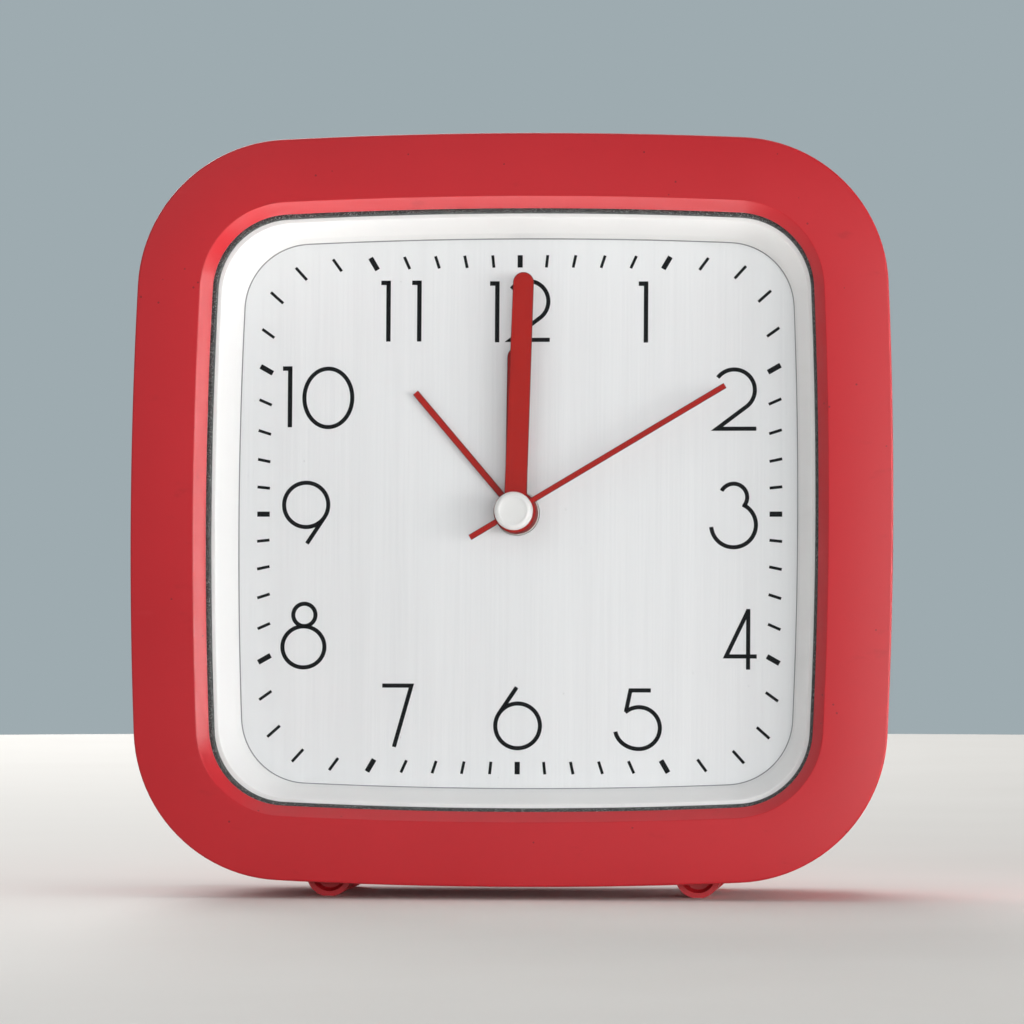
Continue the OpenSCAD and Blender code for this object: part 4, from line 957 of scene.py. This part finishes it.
# %% Finish the rest
STAYS = [
    (silver_brushed, ["dial"]),
    (white_moulded, ["dial_carrier", "movement_front", "coil_bobbin"]),
    (gear_milky, ["alarm_wheel", "hour_wheel", "cannon_pinion", "centre_wheel", "third_wheel",
                  "seconds_wheel", "fifth_wheel", "rotor_pinion", "motion_wheel", "alarm_shaft"]),
    (steel, ["movement_screws", "clutch_washer", "stator", "coil_core", "quartz_crystal", "positive_contact",
             "negative_contact"]),
    (black_moulded, ["driver_chip", "buzzer"]),
    (magnet, ["rotor_magnet"]),
    (copper, ["coil_winding"]),
    (green_board, ["circuit_board"]),
    (brass, ["alarm_contact"]),
]
for finish, nodes in STAYS:
    for node in nodes:
        for material_slot in frame["nodes"][node].material_slots:
            material_slot.material = finish
print("finished in place:", sum(len(nodes) for _, nodes in STAYS))

# %% [markdown]
# ## The floor
# A pale floor catches the shadow. It is a plain round disc with a faint cloudy tone, large enough to fill
# the lower part of the picture.

# %% Floor
FLOOR_RADIUS, FLOOR_SIDES = 0.73, 96


def floor_pale():
    """Two pale tones in slow clouds, which also set the roughness."""
    f = Finish("floor_pale", Specular_IOR_Level=0.2)
    cloud = f.noise(60, 3)
    return f.ends(Base_Color=f.mix(cloud, tone(226, 222, 216), tone(234, 231, 226)),
                  Roughness=0.6 + 0.2 * cloud)


floor_edge = arc(0, 0, FLOOR_RADIUS, FLOOR_RADIUS, 0, 360, FLOOR_SIDES + 1)[:-1]
floor_points = np.c_[floor_edge, np.zeros(FLOOR_SIDES)]
floor_mesh = bpy.data.meshes.new("floor")
floor_mesh.from_pydata(floor_points.tolist(), [], [list(range(FLOOR_SIDES))])
floor_mesh.materials.append(floor_pale())
floor = bpy.data.objects.new("floor", floor_mesh)
bpy.context.scene.collection.objects.link(floor)
print("floor:", 2 * FLOOR_RADIUS, "m across")

# %% [markdown]
# ## The studio
# The world gives an even soft sky, but the camera, mirrors and clear panes see a plain grey wall instead: a
# Light Path node tells these rays apart. The lamps are flat panels that the camera doesn't see. The key
# stands low at the right, and a low wide panel in front lights the dial. A narrow beam from the right runs
# along the face and catches the left chamfer. Two small panels at the clock's foot shine upwards, so that the
# upper and upper left chamfers glow as from light thrown up from below. Fill, top and rear panels light the
# other sides.

# %% World
world = bpy.data.worlds.new("studio")
world.use_nodes = True
bpy.context.scene.world = world
studio = Tree(world.node_tree)
soft_sky = studio.node("ShaderNodeBackground", None, {"Color": (0.9, 0.93, 0.96, 1.0), "Strength": 0.3})
grey_wall = studio.node("ShaderNodeBackground", None, {"Color": tone(158, 171, 176)})
seen, mirrored, through = [studio.node("ShaderNodeLightPath", out=ray_kind)
                           for ray_kind in ("Is Camera Ray", "Is Glossy Ray", "Is Transmission Ray")]
backdrop = studio.node("ShaderNodeMixShader", None,
                       {0: seen + mirrored + through, 1: soft_sky, 2: grey_wall})
studio.feed(world.node_tree.nodes["World Output"].inputs["Surface"], backdrop)
print("world:", len(world.node_tree.nodes), "nodes")

# %% Lamps
face_middle = stood(np.array([0.0, 0.0, 5.0]))


def aimed(thing, place, target):
    """Puts an object at place with its -Z axis towards target and its Y axis as near up as that allows."""
    thing.location = place
    thing.rotation_euler = (Vector(target) - Vector(place)).to_track_quat("-Z", "Y").to_euler()
    bpy.context.scene.collection.objects.link(thing)


def panel(name, place, size, watts, beam=180.0, target=face_middle):
    """A flat lamp of that size in metres, aimed at a target, whose light leaves it within the beam angle."""
    lamp = bpy.data.lights.new(name, "AREA")
    lamp.shape = "RECTANGLE"
    lamp.size, lamp.size_y = size
    lamp.energy = watts
    lamp.spread = np.radians(beam)
    holder = bpy.data.objects.new(name, lamp)
    holder.visible_camera = False
    aimed(holder, place, target)
    print(f"{name}: {watts} W")


panel("key_panel", (0.3, -0.25, 0.065), (0.26, 0.12), 0.152, beam=80.0)
panel("front_panel", (0.35, -1.05, 0.1), (0.5, 0.16), 2.6)
panel("side_panel", (0.6, -0.055, 0.07), (0.05, 0.13), 0.068, beam=40.0)
panel("foot_panel", (-0.005, -0.045, 0.004), (0.12, 0.02), 0.018, beam=40.0, target=(-0.005, 0.025, 1.0))
panel("corner_panel", (0.02, -0.045, 0.004), (0.03, 0.02), 0.0011, beam=25.0, target=(-0.038, -0.015, 0.1))
panel("fill_panel", (-0.55, -0.9, 0.58), (0.8, 0.7), 1.5)
panel("top_panel", (0.0, 0.1, 0.95), (0.5, 0.5), 2.0)
panel("rear_panel", (-0.35, 0.8, 0.55), (0.6, 0.6), 5.0)

# %% [markdown]
# ## The camera
# The camera stands level, a metre away and nearly six degrees to the right, with a long lens. The lens
# follows from how much of the scene the picture is to hold at that distance.

# %% Camera
DISTANCE, AZIMUTH = 1.0, np.radians(5.8)
SENSOR, VIEW_WIDE = 36.0, 0.1561
aim = stood(np.array([0.42, -0.55, 12.2]))
camera_data = bpy.data.cameras.new("camera")
camera_data.sensor_width = SENSOR
camera_data.lens = SENSOR * DISTANCE / VIEW_WIDE
camera_data.clip_start = 0.01
camera = bpy.data.objects.new("camera", camera_data)
aimed(camera, aim + DISTANCE * np.array([np.sin(AZIMUTH), -np.cos(AZIMUTH), 0.0]), aim)
bpy.context.scene.camera = camera
bpy.context.scene.view_settings.view_transform = "Standard"
print("camera at", [round(v, 3) for v in camera.location], "lens", round(camera_data.lens, 1), "mm")
